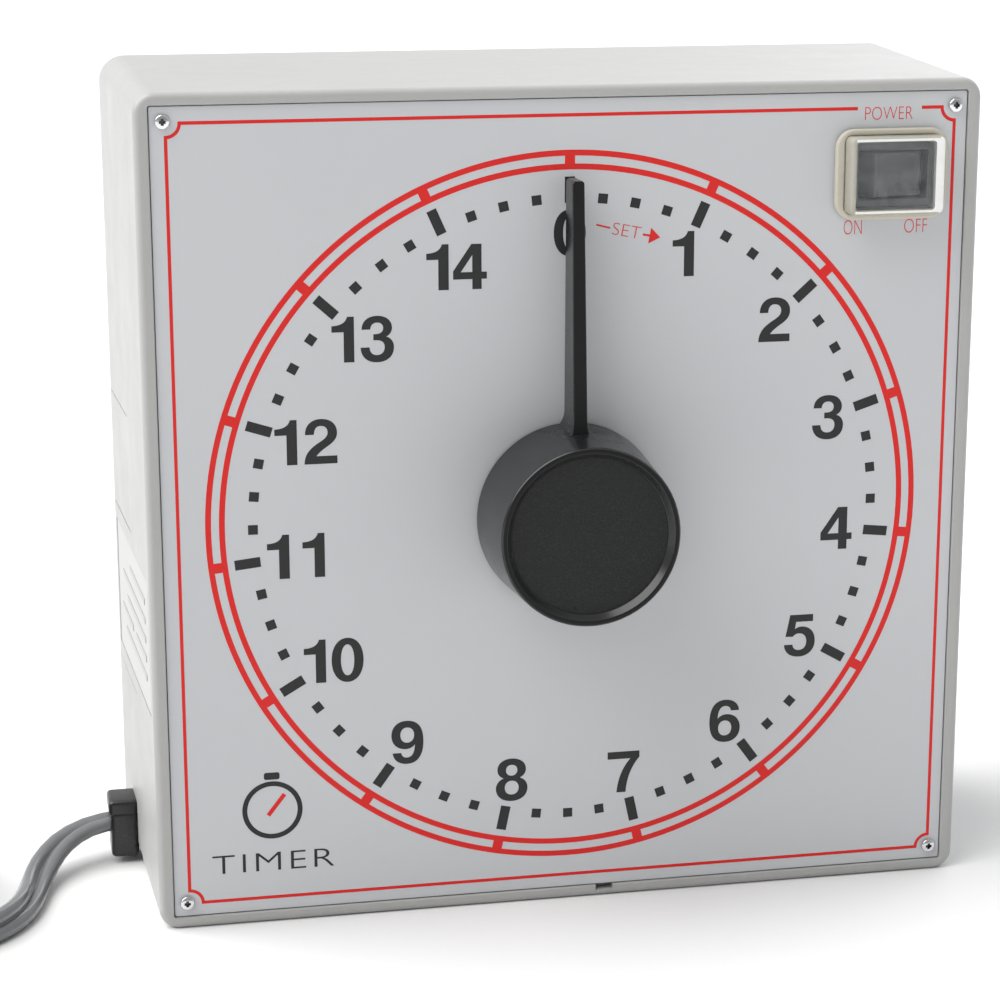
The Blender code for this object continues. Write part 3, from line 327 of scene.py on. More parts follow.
NYLON = moulded("nylon", (0.70, 0.67, 0.57), (0.80, 0.77, 0.68), 0.48, 1800.0, 0.00002)
PHENOLIC = moulded("phenolic", (0.10, 0.035, 0.015), (0.17, 0.07, 0.03), 0.46, 900.0, 0.00003)
COPPER_WINDING = metal("copper_winding", (0.42, 0.13, 0.05), (0.62, 0.25, 0.09), 0.32, (1.0, 30.0, 1.0),
                       900.0, 0.00008)
CORD_VINYL = moulded("cord_vinyl", (0.120, 0.124, 0.130), (0.155, 0.159, 0.165), 0.17, 1500.0, 0.000008,
                     gloss=1.0)
WIRE_BLACK = moulded("wire_black", (0.010, 0.010, 0.011), (0.020, 0.020, 0.021), 0.35, 1500.0, 0.00001)
WIRE_WHITE = moulded("wire_white", (0.68, 0.68, 0.66), (0.76, 0.76, 0.74), 0.38, 1500.0, 0.00001)

NODE_MATERIALS = {
    "case_plastic": CASE_PLASTIC, "face_film": FACE_FILM, "label_film": LABEL_FILM, "aluminium": ALUMINIUM,
    "black_plastic": BLACK_PLASTIC, "dark_grey_plastic": DARK_GREY_PLASTIC, "cream_rubber": CREAM_RUBBER,
    "clear_vinyl": CLEAR_WALL, "screw_steel": SCREW_STEEL, "zinc_steel": ZINC_STEEL, "brass": BRASS,
    "nylon": NYLON, "phenolic": PHENOLIC, "copper_winding": COPPER_WINDING, "cord_vinyl": CORD_VINYL,
    "wire_black": WIRE_BLACK, "wire_white": WIRE_WHITE,
}


def dress_nodes():
    """Give every CAD node the full material of the slot that it was packed with."""
    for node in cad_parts.values():
        slot = node.data.materials[0].name
        node.data.materials.clear()
        node.data.materials.append(NODE_MATERIALS[slot])


# Building blocks ------------------------------------------------------------------------------

UNMOVED = Matrix.Identity(4)


def add_piece(name, data, materials, body, replaces=(), matrix=None, flat=False):
    """Put a mesh into the scene as a piece that rides on a body. flat keeps flats flat beside round edges."""
    piece = bpy.data.objects.new(name, data)
    for material in materials:
        data.materials.append(material)
    bpy.context.scene.collection.objects.link(piece)
    piece.matrix_world = matrix or UNMOVED
    if body:
        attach(piece, body)
    if replaces:
        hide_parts(*replaces)
    if flat:
        weighted = piece.modifiers.new("flat_faces", "WEIGHTED_NORMAL")
        weighted.keep_sharp = True
    return piece


def mesh_from(bm, name, sharp_deg=38.0):
    data = bpy.data.meshes.new(name)
    bmesh.ops.recalc_face_normals(bm, faces=bm.faces)
    bm.to_mesh(data)
    bm.free()
    data.shade_smooth()
    data.set_sharp_from_angle(angle=math.radians(sharp_deg))
    return data


def loft(rings, name, close_ends=True, cyclic=False, sharp_deg=38.0):
    """A skin over rings of points, all with the same number of points."""
    bm = bmesh.new()
    rows = [[bm.verts.new(point) for point in ring] for ring in rings]
    pairs = list(zip(rows, rows[1:]))
    if cyclic:
        pairs.append((rows[-1], rows[0]))
    count = len(rows[0])
    for first, second in pairs:
        for i in range(count):
            j = (i + 1) % count
            bm.faces.new((first[i], first[j], second[j], second[i]))
    if close_ends and not cyclic:
        bm.faces.new(rows[0])
        bm.faces.new(rows[-1])
    return mesh_from(bm, name, sharp_deg)


def spun(profile, name, sides=96, sharp_deg=38.0, tags=None):
    """Spin (radius, height) points about local Z. tags gives each stretch's material number."""
    bm = bmesh.new()
    rings = []
    for radius, height in profile:
        if radius < 1e-6:
            rings.append([bm.verts.new((0.0, 0.0, height * MM))])
            continue
        steps = [2 * math.pi * i / sides for i in range(sides)]
        rings.append([bm.verts.new((radius * MM * math.cos(a), radius * MM * math.sin(a), height * MM))
                      for a in steps])
    for number, (first, second) in enumerate(zip(rings, rings[1:])):
        for i in range(sides):
            j = (i + 1) % sides
            corners = [first[i % len(first)], first[j % len(first)]]
            corners += [second[j % len(second)], second[i % len(second)]]
            face = bm.faces.new(list(dict.fromkeys(corners)))
            if tags:
                face.material_index = tags[number]
    return mesh_from(bm, name, sharp_deg)


def arc(cx, cy, radius, start_deg, end_deg, steps):
    turns = [math.radians(start_deg + (end_deg - start_deg) * i / steps) for i in range(steps + 1)]
    return [(cx + radius * math.cos(a), cy + radius * math.sin(a)) for a in turns]


def circle(cx, cy, radius, sides=64):
    return arc(cx, cy, radius, 0, 360, sides)[:-1]


def rounded(cx, cy, width, height, radius, steps=8):
    """The corners of a rectangle about a point, with quarter-round corners."""
    points = []
    for quarter, (sx, sy) in enumerate(((1, 1), (-1, 1), (-1, -1), (1, -1))):
        middle = (cx + sx * (width / 2 - radius), cy + sy * (height / 2 - radius))
        points += arc(*middle, radius, 90 * quarter, 90 * quarter + 90, steps)
    return points


def flat_mesh(loops, name, thickness, edge=0.0, edge_steps=2):
    """A sheet in local XY with its front at local Z 0, from outlines and holes; edge rounds both rims."""
    curve = bpy.data.curves.new(name, "CURVE")
    curve.dimensions = "2D"
    curve.fill_mode = "BOTH"
    curve.extrude = (thickness / 2 - edge) * MM
    if edge:
        curve.bevel_depth = edge * MM
        curve.bevel_resolution = edge_steps
        curve.offset = -edge * MM
    for loop in loops:
        line = curve.splines.new("POLY")
        line.points.add(len(loop) - 1)
        for point, (px, py) in zip(line.points, loop):
            point.co = (px * MM, py * MM, 0.0, 1.0)
        line.use_cyclic_u = True
    holder = bpy.data.objects.new(name + "_outline", curve)
    bpy.context.scene.collection.objects.link(holder)
    bpy.context.view_layer.update()
    data = bpy.data.meshes.new_from_object(holder.evaluated_get(bpy.context.evaluated_depsgraph_get()))
    bpy.data.objects.remove(holder, do_unlink=True)
    data.transform(Matrix.Translation((0.0, 0.0, -thickness / 2 * MM)))
    bm = bmesh.new()
    bm.from_mesh(data)
    bmesh.ops.remove_doubles(bm, verts=bm.verts, dist=0.0000005)
    bm.to_mesh(data)
    bm.free()
    data.name = name
    data.shade_smooth()
    data.set_sharp_from_angle(angle=math.radians(30))
    return data


def joined(parts, name):
    """One mesh from several (mesh, matrix) parts, keeping which material number each has."""
    bm = bmesh.new()
    for data, matrix in parts:
        fresh = data.copy()
        fresh.transform(matrix)
        bm.from_mesh(fresh)
        bpy.data.meshes.remove(fresh)
    made = bpy.data.meshes.new(name)
    bm.to_mesh(made)
    bm.free()
    return made


def soft_box(name, low, high, rounding, steps=4):
    """A box between two (x, depth, z) corners with rounded edges, as a mesh in place."""
    bm = bmesh.new()
    bmesh.ops.create_cube(bm, size=1.0)
    near, far = place(*low), place(*high)
    for vertex in bm.verts:
        vertex.co = Vector([(n + f) / 2 + c * abs(f - n) for n, f, c in zip(near, far, vertex.co)])
    if rounding:
        bmesh.ops.bevel(bm, geom=list(bm.edges), offset=rounding * MM, segments=steps, profile=0.5,
                        affect="EDGES", clamp_overlap=True)
    return mesh_from(bm, name, 50.0)


def carved(data, tools, name, sharp_deg=35.0):
    """The mesh with each tool mesh cut away from it."""
    holder = bpy.data.objects.new(name, data)
    bpy.context.scene.collection.objects.link(holder)
    helpers = []
    for tool in tools:
        helper = bpy.data.objects.new(name + "_tool", tool)
        bpy.context.scene.collection.objects.link(helper)
        helpers.append(helper)
        change = holder.modifiers.new("cut", "BOOLEAN")
        change.operation = "DIFFERENCE"
        change.solver = "EXACT"
        change.object = helper
    bpy.context.view_layer.update()
    made = bpy.data.meshes.new_from_object(holder.evaluated_get(bpy.context.evaluated_depsgraph_get()))
    for extra in [holder, *helpers]:
        bpy.data.objects.remove(extra, do_unlink=True)
    made.name = name
    made.shade_smooth()
    made.set_sharp_from_angle(angle=math.radians(sharp_deg))
    return made


# Case -----------------------------------------------------------------------------------------

CASE_HALF = 95.25
CASE_TOP = 189.5
CASE_FLARE = 3.25
CASE_DEPTH = 70.0
CASE_CORNER = 6.0
FRONT_CORNER = 4.5
WALL = 2.6
RIM_PROUD = 0.6
RIM_ROUND = 1.5
LEDGE_DEPTH = 2.6
LEDGE_BACK = 5.0
RECESS = 184.1
RECESS_CORNER = 0.6
WINDOW = 168.1
INNER_CORNER = 4.0
RIM_LIP = 0.25
NOTCHES = [(3.0, 46.0), (85.0, 113.0)]
NOTCH_DEPTHS = (34.0, 75.0)
POST_DEPTH = 65.7
COVER_THICK = 2.6
SCREW_PITCH = 0.7
KEYHOLE_XS = (-38.0, 38.0)
KEYHOLE_Z = 150.0
COVER_SCREWS = [(-86.0, 181.0), (86.0, 181.0), (-86.5, 27.0), (86.5, 27.0)]
FACE_SCREWS = [(sx * 89.0, PANEL_Z + sz * 88.6) for sz in (1, -1) for sx in (-1, 1)]
SWITCH_X = 73.9
SWITCH_Z = 168.4
INK_THICK = 0.02


def case_section(inset, depth, corner):
    """The case's outline at a depth, in place, drawn in from its outside by the inset."""
    flare = CASE_FLARE * max(depth, 0.0) / CASE_DEPTH
    width = 2 * (CASE_HALF + flare - inset)
    top = CASE_TOP + flare - inset
    outline = rounded(0.0, (top + inset) / 2, width, top - inset, corner, 10)
    return [place(x, depth, z) for x, z in outline]


def square_section(size, depth, corner):
    return [place(x, depth, z) for x, z in rounded(0.0, PANEL_Z, size, size, corner, 10)]


def case_x(depth):
    return CASE_HALF + CASE_FLARE * depth / CASE_DEPTH


def wall_block(depths, zs, insets, name):
    """A block between two depths and heights whose long faces run along the case's left wall."""
    bm = bmesh.new()
    bmesh.ops.create_cube(bm, size=2.0)
    for corner in bm.verts:
        depth = depths[0] if corner.co.y < 0 else depths[1]
        inset = insets[0] if corner.co.x < 0 else insets[1]
        corner.co = place(-case_x(depth) + inset, depth, zs[0] if corner.co.z < 0 else zs[1])
    return mesh_from(bm, name)


def make_case():
    """The moulded shell with its raised rim, the ledge under the face and the posts for the cover."""
    rings = [case_section(WALL, LEDGE_BACK, INNER_CORNER), square_section(WINDOW, LEDGE_BACK, INNER_CORNER)]
    rings.append(square_section(WINDOW, LEDGE_DEPTH, INNER_CORNER))
    rings.append(square_section(RECESS, LEDGE_DEPTH, RECESS_CORNER))
    for turn in (0, 30, 60, 90):
        widening = 2 * RIM_LIP * (1 - math.cos(math.radians(turn)))
        depth = -RIM_PROUD + RIM_LIP * (1 - math.sin(math.radians(turn)))
        rings.append(square_section(RECESS + widening, depth, RECESS_CORNER + widening / 2))
    for turn in range(0, 91, 10):
        inset = RIM_ROUND * (1 - math.sin(math.radians(turn)))
        depth = -RIM_PROUD + RIM_ROUND * (1 - math.cos(math.radians(turn)))
        rings.append(case_section(inset, depth, FRONT_CORNER - inset * 0.8))
    for inset, short, corner in ((0.0, 0.5, CASE_CORNER), (0.12, 0.15, CASE_CORNER), (0.5, 0.0, CASE_CORNER),
                                 (WALL - 0.3, 0.0, 4.3), (WALL, 0.3, INNER_CORNER)):
        rings.append(case_section(inset, CASE_DEPTH - short, corner))
    shell = loft(rings, "case_loft", False, True)
    tools = [wall_block(NOTCH_DEPTHS, zs, (-6.0, 9.0), "notch") for zs in NOTCHES]
    tools.append(wall_block((3.7, 66.3), (49.7, 81.3), (-4.0, 0.7), "label_pocket"))
    tools.append(soft_box("pry_notch", (6.7, -3.0, 1.5), (10.9, LEDGE_DEPTH - 0.2, 5.6), 0.0))
    parts = [(carved(shell, tools, "case_shell"), UNMOVED)]
    for x, z in COVER_SCREWS:
        post = soft_box("post", (x - 5.0, LEDGE_BACK - 1.0, z - 5.0), (x + 5.0, POST_DEPTH, z + 5.0), 0.6)
        parts.append((post, UNMOVED))
    add_piece("case", joined(parts, "case"), [CASE_PLASTIC], "case", ("housing",), flat=True)


def make_label_print():
    """Faint rows on the rating label, a generic stand-in with no readable text."""
    rows = []
    for start, end, z in ((10.0, 40.0, 75.0), (10.0, 55.0, 70.5), (10.0, 47.0, 66.0), (10.0, 30.0, 61.5),
                          (36.0, 58.0, 61.5), (10.0, 52.0, 57.0)):
        row = wall_block((start, end), (z - 0.7, z + 0.7), (-INK_THICK, 0.06), "row")
        rows.append((row, UNMOVED))
    add_piece("label_print", joined(rows, "label_print"), [LABEL_INK], "case")


def keyhole(x, z, grow=0.0):
    """A wall-hanging hole: a round way in for the nail's head, and a slot up from it."""
    wide, slot = 4.6 + grow, 2.3 + grow
    start = math.degrees(math.asin(slot / wide))
    return arc(x, z, wide, 90 + start, 450 - start, 28) + arc(x, z + 10.0, slot, 0, 180, 10)


def make_rear_cover():
    """The flat cover in the back: wall-hanging keyholes, vents and raised rims round them."""
    low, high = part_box("rear_cover")
    middle_z = (low.z + high.z) / 2 / MM
    back = (high.y / MM) - FACE_Y
    outline = rounded(0.0, 0.0, (high.x - low.x) / MM, (high.z - low.z) / MM, 3.6)
    loops = [outline] + [circle(x, z - middle_z, 2.0, 32) for x, z in COVER_SCREWS]
    loops += [keyhole(x, KEYHOLE_Z - middle_z) for x in KEYHOLE_XS]
    loops += [rounded(0.0, 30.0 + 6 * row - middle_z, 40.0, 2.2, 1.0, 5) for row in range(6)]
    plate = flat_mesh(loops, "cover_plate", COVER_THICK, 0.35)
    parts = [(plate, face_matrix(0.0, middle_z, -(back - COVER_THICK)))]
    vents_z = 45.0 - middle_z
    rims = [[rounded(0.0, vents_z, 50.0, 42.0, 3.0), rounded(0.0, vents_z, 47.0, 39.0, 2.0)]]
    for x in KEYHOLE_XS:
        rims.append([keyhole(x, KEYHOLE_Z - middle_z, grow) for grow in (2.2, 0.8)])
    for number, loops in enumerate(rims):
        rim = flat_mesh(loops, f"cover_rim_{number}", 1.0, 0.3)
        parts.append((rim, face_matrix(0.0, middle_z, -(back - 0.3))))
    add_piece("rear_cover_plate", joined(parts, "rear_cover_plate"), [CASE_PLASTIC], "case",
              ("rear_cover",), flat=True)


def make_screw(name, node, x, z, seat, head, head_height, shank, length, backward):
    """A pan-head screw with a cross recess and ridges for its thread; its head rests at the height seat."""
    profile = [(0.0, head_height)]
    profile += [(head * 0.96 * math.sin(a), head_height * (0.45 + 0.55 * math.cos(a)))
                for a in [math.radians(t) for t in (12, 24, 36, 48, 60, 72, 84, 90)]]
    profile += [(head, head_height * 0.3), (head, 0.08), (head - 0.08, 0.0), (shank, 0.0)]
    for ridge in range(int((length - shank) / SCREW_PITCH)):
        crest = -0.3 - ridge * SCREW_PITCH
        profile += [(shank, crest), (shank - 0.22, crest - 0.2), (shank - 0.22, crest - 0.3)]
    profile += [(shank - 0.2, -length + shank), (0.0, -length)]
    blank = spun(profile, name + "_blank", 40)
    tools = []
    for turn in (0, 1):
        wide, thin = (head * 0.6, head * 0.2) if turn else (head * 0.2, head * 0.6)
        bm = bmesh.new()
        bmesh.ops.create_cube(bm, size=2.0)
        for corner in bm.verts:
            deep = corner.co.z < 0
            taper = 0.55 if deep else 1.0
            x_taper, y_taper = (taper, 1.0) if turn else (1.0, taper)
            height = head_height * 0.1 if deep else head_height + 1.0
            corner.co = Vector((corner.co.x * wide * x_taper, corner.co.y * thin * y_taper, height)) * MM
        tools.append(mesh_from(bm, name + f"_drive_{turn}"))
    data = carved(blank, tools, name)
    # Faces inside the cross recess take the dark steel: painted shade in the recess
    for face in data.polygons:
        from_axis = math.hypot(face.center.x, face.center.y)
        if from_axis < head * 0.66 * MM and 0.0 < face.center.z < head_height * 0.8 * MM:
            face.material_index = 1
    slot = "zinc_steel" if backward else "screw_steel"
    matrix = Matrix.Translation(place(x, -seat, z)) @ (BACK_TURN if backward else FRONT_TURN)
    add_piece(name, data, [NODE_MATERIALS[slot], SCREW_RECESS_SHADE], "case", (node,), matrix)


def make_screws():
    for number, (x, z) in enumerate(FACE_SCREWS, 1):
        make_screw(f"face_screw_head_{number}", f"face_screw_{number}", x, z, 0.3, 1.65, 0.9, 1.1, 9.0, False)
    for number, (x, z) in enumerate(COVER_SCREWS, 1):
        make_screw(f"cover_screw_head_{number}", f"cover_screw_{number}", x, z, -68.9, 3.0, 1.05, 1.4, 12.0,
                   True)


# Printed face ---------------------------------------------------------------------------------

NUMERAL_X = 0.0152
NUMERAL_Y = 0.0143
NUMERAL_TALL = 710
FILM_SIZE = 183.7
BADGE_X = -69.0
BADGE_Y = 27.0 - DIAL_Z
SET_LEAN_DEG = -11.3
RED_THIN = 0.02


def oval(cx, cy, rx, ry, handle=0.6):
    """A closed, slightly squared oval as cubic stretches."""
    hx, hy = rx * handle, ry * handle
    return [(cx + rx, cy), (cx + rx, cy + hy, cx + hx, cy + ry, cx, cy + ry),
            (cx - hx, cy + ry, cx - rx, cy + hy, cx - rx, cy),
            (cx - rx, cy - hy, cx - hx, cy - ry, cx, cy - ry),
            (cx + hx, cy - ry, cx + rx, cy - hy, cx + rx, cy)]


SIX = [(503, 520), (495, 640, 405, 710, 285, 710), (115, 710, 31, 575, 31, 330), (31, 95, 120, -16, 285, -16),
       (425, -16, 520, 80, 520, 228), (520, 365, 430, 460, 305, 460), (245, 460, 195, 435, 163, 390),
       (168, 535, 208, 602, 285, 602), (335, 602, 366, 572, 372, 520)]
# Outlines of the numerals: points are corners, and six numbers are a cubic stretch to the last two
NUMERALS = {
    "0": [oval(278, 352, 240, 364), oval(278, 352, 100, 255)],
    "1": [[(175, 0), (328, 0), (328, 710), (228, 710), (205, 610, 120, 575, 0, 572), (0, 473), (175, 473)]],
    "2": [[(26, 0), (511, 0), (511, 124), (205, 124), (240, 180, 300, 225, 365, 272),
           (450, 333, 511, 385, 511, 490), (511, 625, 415, 710, 278, 710), (130, 710, 40, 615, 40, 465),
           (172, 465), (174, 550, 205, 600, 272, 600), (335, 600, 372, 560, 372, 495),
           (372, 440, 345, 405, 255, 345), (130, 262, 30, 180, 26, 0)]],
    "3": [[(45, 500), (172, 500), (174, 565, 212, 605, 270, 605), (328, 605, 360, 570, 360, 515),
           (360, 455, 320, 425, 240, 425), (215, 425), (215, 330), (250, 330), (335, 330, 380, 295, 380, 220),
           (380, 145, 335, 98, 270, 98), (200, 98, 160, 145, 158, 222), (27, 222),
           (30, 75, 120, -16, 270, -16), (420, -16, 516, 75, 516, 215), (516, 300, 475, 360, 405, 383), (462, 410, 490, 460, 490, 520),
           (490, 635, 400, 710, 272, 710), (132, 710, 45, 630, 45, 500)]],
    "4": [[(310, 0), (448, 0), (448, 158), (526, 158), (526, 268), (448, 268), (448, 703), (298, 703),
           (27, 285), (27, 158), (310, 158)], [(310, 268), (310, 530), (140, 268)]],
    "5": [[(116, 698), (484, 698), (484, 578), (215, 578), (196, 455), (228, 482, 265, 495, 305, 495),
           (435, 495, 520, 395, 520, 245), (520, 90, 415, -16, 265, -16), (125, -16, 30, 65, 27, 195),
           (162, 195), (168, 132, 205, 98, 262, 98), (335, 98, 382, 150, 382, 238),
           (382, 325, 338, 380, 265, 380), (220, 380, 188, 362, 168, 328), (47, 333)]],
    "6": [SIX, oval(278, 225, 105, 128)],
    "7": [[(25, 698), (528, 698), (528, 590), (400, 440, 330, 240, 312, 0), (168, 0),
           (185, 220, 255, 420, 385, 574), (25, 574)]],
    "8": [[(278, 710), (408, 710, 500, 635, 500, 525), (500, 455, 465, 405, 405, 378),
           (480, 348, 524, 285, 524, 200), (524, 70, 425, -16, 278, -16), (131, -16, 32, 70, 32, 200), (32, 285, 76, 348, 151, 378),
           (91, 405, 56, 455, 56, 525), (56, 635, 148, 710, 278, 710)], oval(278, 510, 88, 92),
          oval(278, 213, 108, 118)],
}
# Space between the two digits of a number, in numeral units
PAIR_GAPS = {"10": 85, "11": 194, "12": 103, "13": 93, "14": 64}


def drawn(path):
    """The points of a closed path of corners and cubic stretches."""
    points = []
    for step in path:
        if len(step) == 2:
            points.append(step)
            continue
        x0, y0 = points[-1]
        x1, y1, x2, y2, x3, y3 = step
        for i in range(1, 11):
            t = i / 10
            u = 1 - t
            points.append((u ** 3 * x0 + 3 * u * u * t * x1 + 3 * u * t * t * x2 + t ** 3 * x3,
                           u ** 3 * y0 + 3 * u * u * t * y1 + 3 * u * t * t * y2 + t ** 3 * y3))
    if math.dist(points[0], points[-1]) < 1e-6:
        points.pop()
    return points


def numeral(digit):
    if digit == "9":
        return [[(551 - x, 694 - y) for x, y in loop] for loop in numeral("6")]
    return [drawn(path) for path in NUMERALS[digit]]


def number_loops(text, cx, cy):
    """The outlines of a number, centred on a point of the face."""
    loops, pen = [], 0.0
    for digit in text:
        shape = numeral(digit)
        left = min(x for x, _ in shape[0])
        loops += [[(x - left + pen, y) for x, y in loop] for loop in shape]
        pen += max(x for x, _ in shape[0]) - left + PAIR_GAPS.get(text, 0)
    width = pen - PAIR_GAPS.get(text, 0)
    return [[(cx + (x - width / 2) * NUMERAL_X, cy + (y - NUMERAL_TALL / 2) * NUMERAL_Y) for x, y in loop]
            for loop in loops]


def tilted_box(radius, turn_deg, radial, across):
    """A small rectangle on the dial, at a radius and clockwise turn from the top."""
    a = math.radians(turn_deg)
    out = (math.sin(a), math.cos(a))
    side = (math.cos(a), -math.sin(a))
    corners = []
    for r, s in ((-radial, -across), (-radial, across), (radial, across), (radial, -across)):
        reach = radius + r / 2
        corners.append((out[0] * reach + side[0] * s / 2, out[1] * reach + side[1] * s / 2))
    return corners


def ring_windows():
    """The red double ring: one band with fifteen long windows between its cross bars."""
    outer, inner = 82.4, 78.05
    low, high = 79.35, 81.1
    loops = [circle(0, 0, outer, 240), circle(0, 0, inner, 240)]
    for part in range(15):
        begin = 90 - 24 * part
        top = math.degrees(math.asin(1.15 / high))
        bottom = math.degrees(math.asin(1.15 / low))
        loops.append(arc(0, 0, high, begin - top, begin - 24 + top, 16)
                     + arc(0, 0, low, begin - 24 + bottom, begin - bottom, 16))
    return loops


def stroke(points, width):
    """The outline of a line of that width along the points."""
    left, right = [], []
    for i, (x, y) in enumerate(points):
        steps = []
        for a, b in ((i - 1, i), (i, i + 1)):
            if a >= 0 and b < len(points):
                dx, dy = points[b][0] - points[a][0], points[b][1] - points[a][1]
                length = math.hypot(dx, dy)
                steps.append((-dy / length, dx / length))
        nx = sum(s[0] for s in steps) / len(steps)
        ny = sum(s[1] for s in steps) / len(steps)
        reach = width / 2 / (nx * nx + ny * ny)
        left.append((x + nx * reach, y + ny * reach))
        right.append((x - nx * reach, y - ny * reach))
    return left + right[::-1]


def border_loop():
    """The red border: it dips round each corner screw, and stops for the word over the switch."""
    left, right, low, high = -88.35, 88.95, 5.9 - DIAL_Z, 183.0 - DIAL_Z
    notch = 3.0
    path = [(81.15, high)]
    path += arc(right, high, notch, 180, 270, 8)
    path += arc(right, low, notch, 90, 180, 8)
    path += arc(left, low, notch, 0, 90, 8)
    path += arc(left, high, notch, 270, 360, 8)
    path.append((66.05, high))
    return stroke(path, 0.75)


def word_mesh(text, low, high, name, thin=0.0, spacing=1.0):
    """A word in the plain built-in lettering, fitted between two corners of the face."""
    curve = bpy.data.curves.new(name, "FONT")
    curve.body = text
    curve.size = 1.0
    curve.space_character = spacing
    curve.offset = -thin
    holder = bpy.data.objects.new(name, curve)
    bpy.context.scene.collection.objects.link(holder)
    bpy.context.view_layer.update()
    data = bpy.data.meshes.new_from_object(holder.evaluated_get(bpy.context.evaluated_depsgraph_get()))
    bpy.data.objects.remove(holder, do_unlink=True)
    xs = [v.co.x for v in data.vertices]
    ys = [v.co.y for v in data.vertices]
    for vertex in data.vertices:
        x = low[0] + (vertex.co.x - min(xs)) / (max(xs) - min(xs)) * (high[0] - low[0])
        y = low[1] + (vertex.co.y - min(ys)) / (max(ys) - min(ys)) * (high[1] - low[1])
        vertex.co = Vector((x, y, 0.0)) * MM
    return data


def dark_loops():
    """The minute marks, the numbers and the plain stopwatch in the corner."""
    loops = []
    for mark in range(60):
        if mark % 4:
            loops.append(tilted_box(71.83, 6 * mark, 2.2, 2.2))
        else:
            loops.append(tilted_box(73.6, 6 * mark, 5.8, 2.3))
    for hour in range(15):
        radius = 62.7 if hour > 9 else 64.1
        a = math.radians(24 * hour)
        loops += number_loops(str(hour), radius * math.sin(a), radius * math.cos(a))
    loops += [circle(BADGE_X, BADGE_Y, 6.9, 72), circle(BADGE_X, BADGE_Y, 5.75, 72)]
    loops.append(rounded(BADGE_X, BADGE_Y + 8.15, 3.6, 1.7, 0.5))
    return loops


def red_loops():
    """The double ring, the border, the stopwatch's hand and the arrow after the word SET."""
    loops = [*ring_windows(), border_loop()]
    hand = math.radians(38)
    tail, tip = [(BADGE_X + reach * math.sin(hand), BADGE_Y + reach * math.cos(hand))
                 for reach in (-1.6, 4.6)]
    loops.append(stroke([tail, tip], 1.0))
    loops.append(stroke([(6.0, 158.7 - DIAL_Z), (9.2, 157.85 - DIAL_Z)], 0.4))
    lean = math.radians(SET_LEAN_DEG)
    arrow = [(0.0, 0.0), (-2.5, 1.8), (-2.5, 0.25), (-4.1, 0.25), (-4.1, -0.25), (-2.5, -0.25), (-2.5, -1.8)]
    loops.append([(20.7 + x * math.cos(lean) - y * math.sin(lean),
                   155.4 - DIAL_Z + x * math.sin(lean) + y * math.cos(lean)) for x, y in arrow])
    return loops


def make_print():
    dial = face_matrix(DIAL_X, DIAL_Z, INK_THICK)
    word = word_mesh("TIMER", (-83.0, 12.4 - DIAL_Z), (-55.0, 16.8 - DIAL_Z), "maker_word", 0.012, 1.15)
    parts = [(flat_mesh(dark_loops(), "dark_marks", INK_THICK), UNMOVED), (word, UNMOVED)]
    add_piece("dark_print", joined(parts, "dark_print"), [DARK_INK], "case", matrix=dial)

    parts = [(flat_mesh(red_loops(), "red_marks", INK_THICK), UNMOVED)]
    for number, (text, low, high) in enumerate((
        ("POWER", (67.8, 180.4), (79.05, 183.3)), ("ON", (63.5, 154.75), (67.8, 158.0)),
        ("OFF", (77.9, 154.75), (83.35, 157.9)),
    )):
        low, high = (low[0], low[1] - DIAL_Z), (high[0], high[1] - DIAL_Z)
        parts.append((word_mesh(text, low, high, f"word_{number}", RED_THIN), UNMOVED))
    word = word_mesh("SET", (-3.3, -1.35), (3.3, 1.35), "word_set", RED_THIN)
    lean = Matrix.Rotation(math.radians(SET_LEAN_DEG), 4, "Z")
    parts.append((word, Matrix.Translation(Vector((12.95, 157.15 - DIAL_Z, 0.0)) * MM) @ lean))
    add_piece("red_print", joined(parts, "red_print"), [RED_INK], "case", matrix=dial)

    film = [rounded(0, PANEL_Z - DIAL_Z, FILM_SIZE, FILM_SIZE, 0.5)]
    film += [circle(x, z - DIAL_Z, 1.4, 24) for x, z in FACE_SCREWS]
    film += [circle(0, 0, 5.1, 48), rounded(SWITCH_X, SWITCH_Z - DIAL_Z, 18.6, 14.4, 0.6, 3)]
    add_piece("dial_film", flat_mesh(film, "dial_film", 0.4, 0.12), [FACE_FILM], "case",
              ("dial_overlay",), face_matrix(DIAL_X, DIAL_Z, 0.0), flat=True)


# Knob -----------------------------------------------------------------------------------------

KNOB_HEIGHT = 23.0
KNOB_DISH = 1.6
KNOB_EDGE = 0.8
HAND_TIP = 76.4


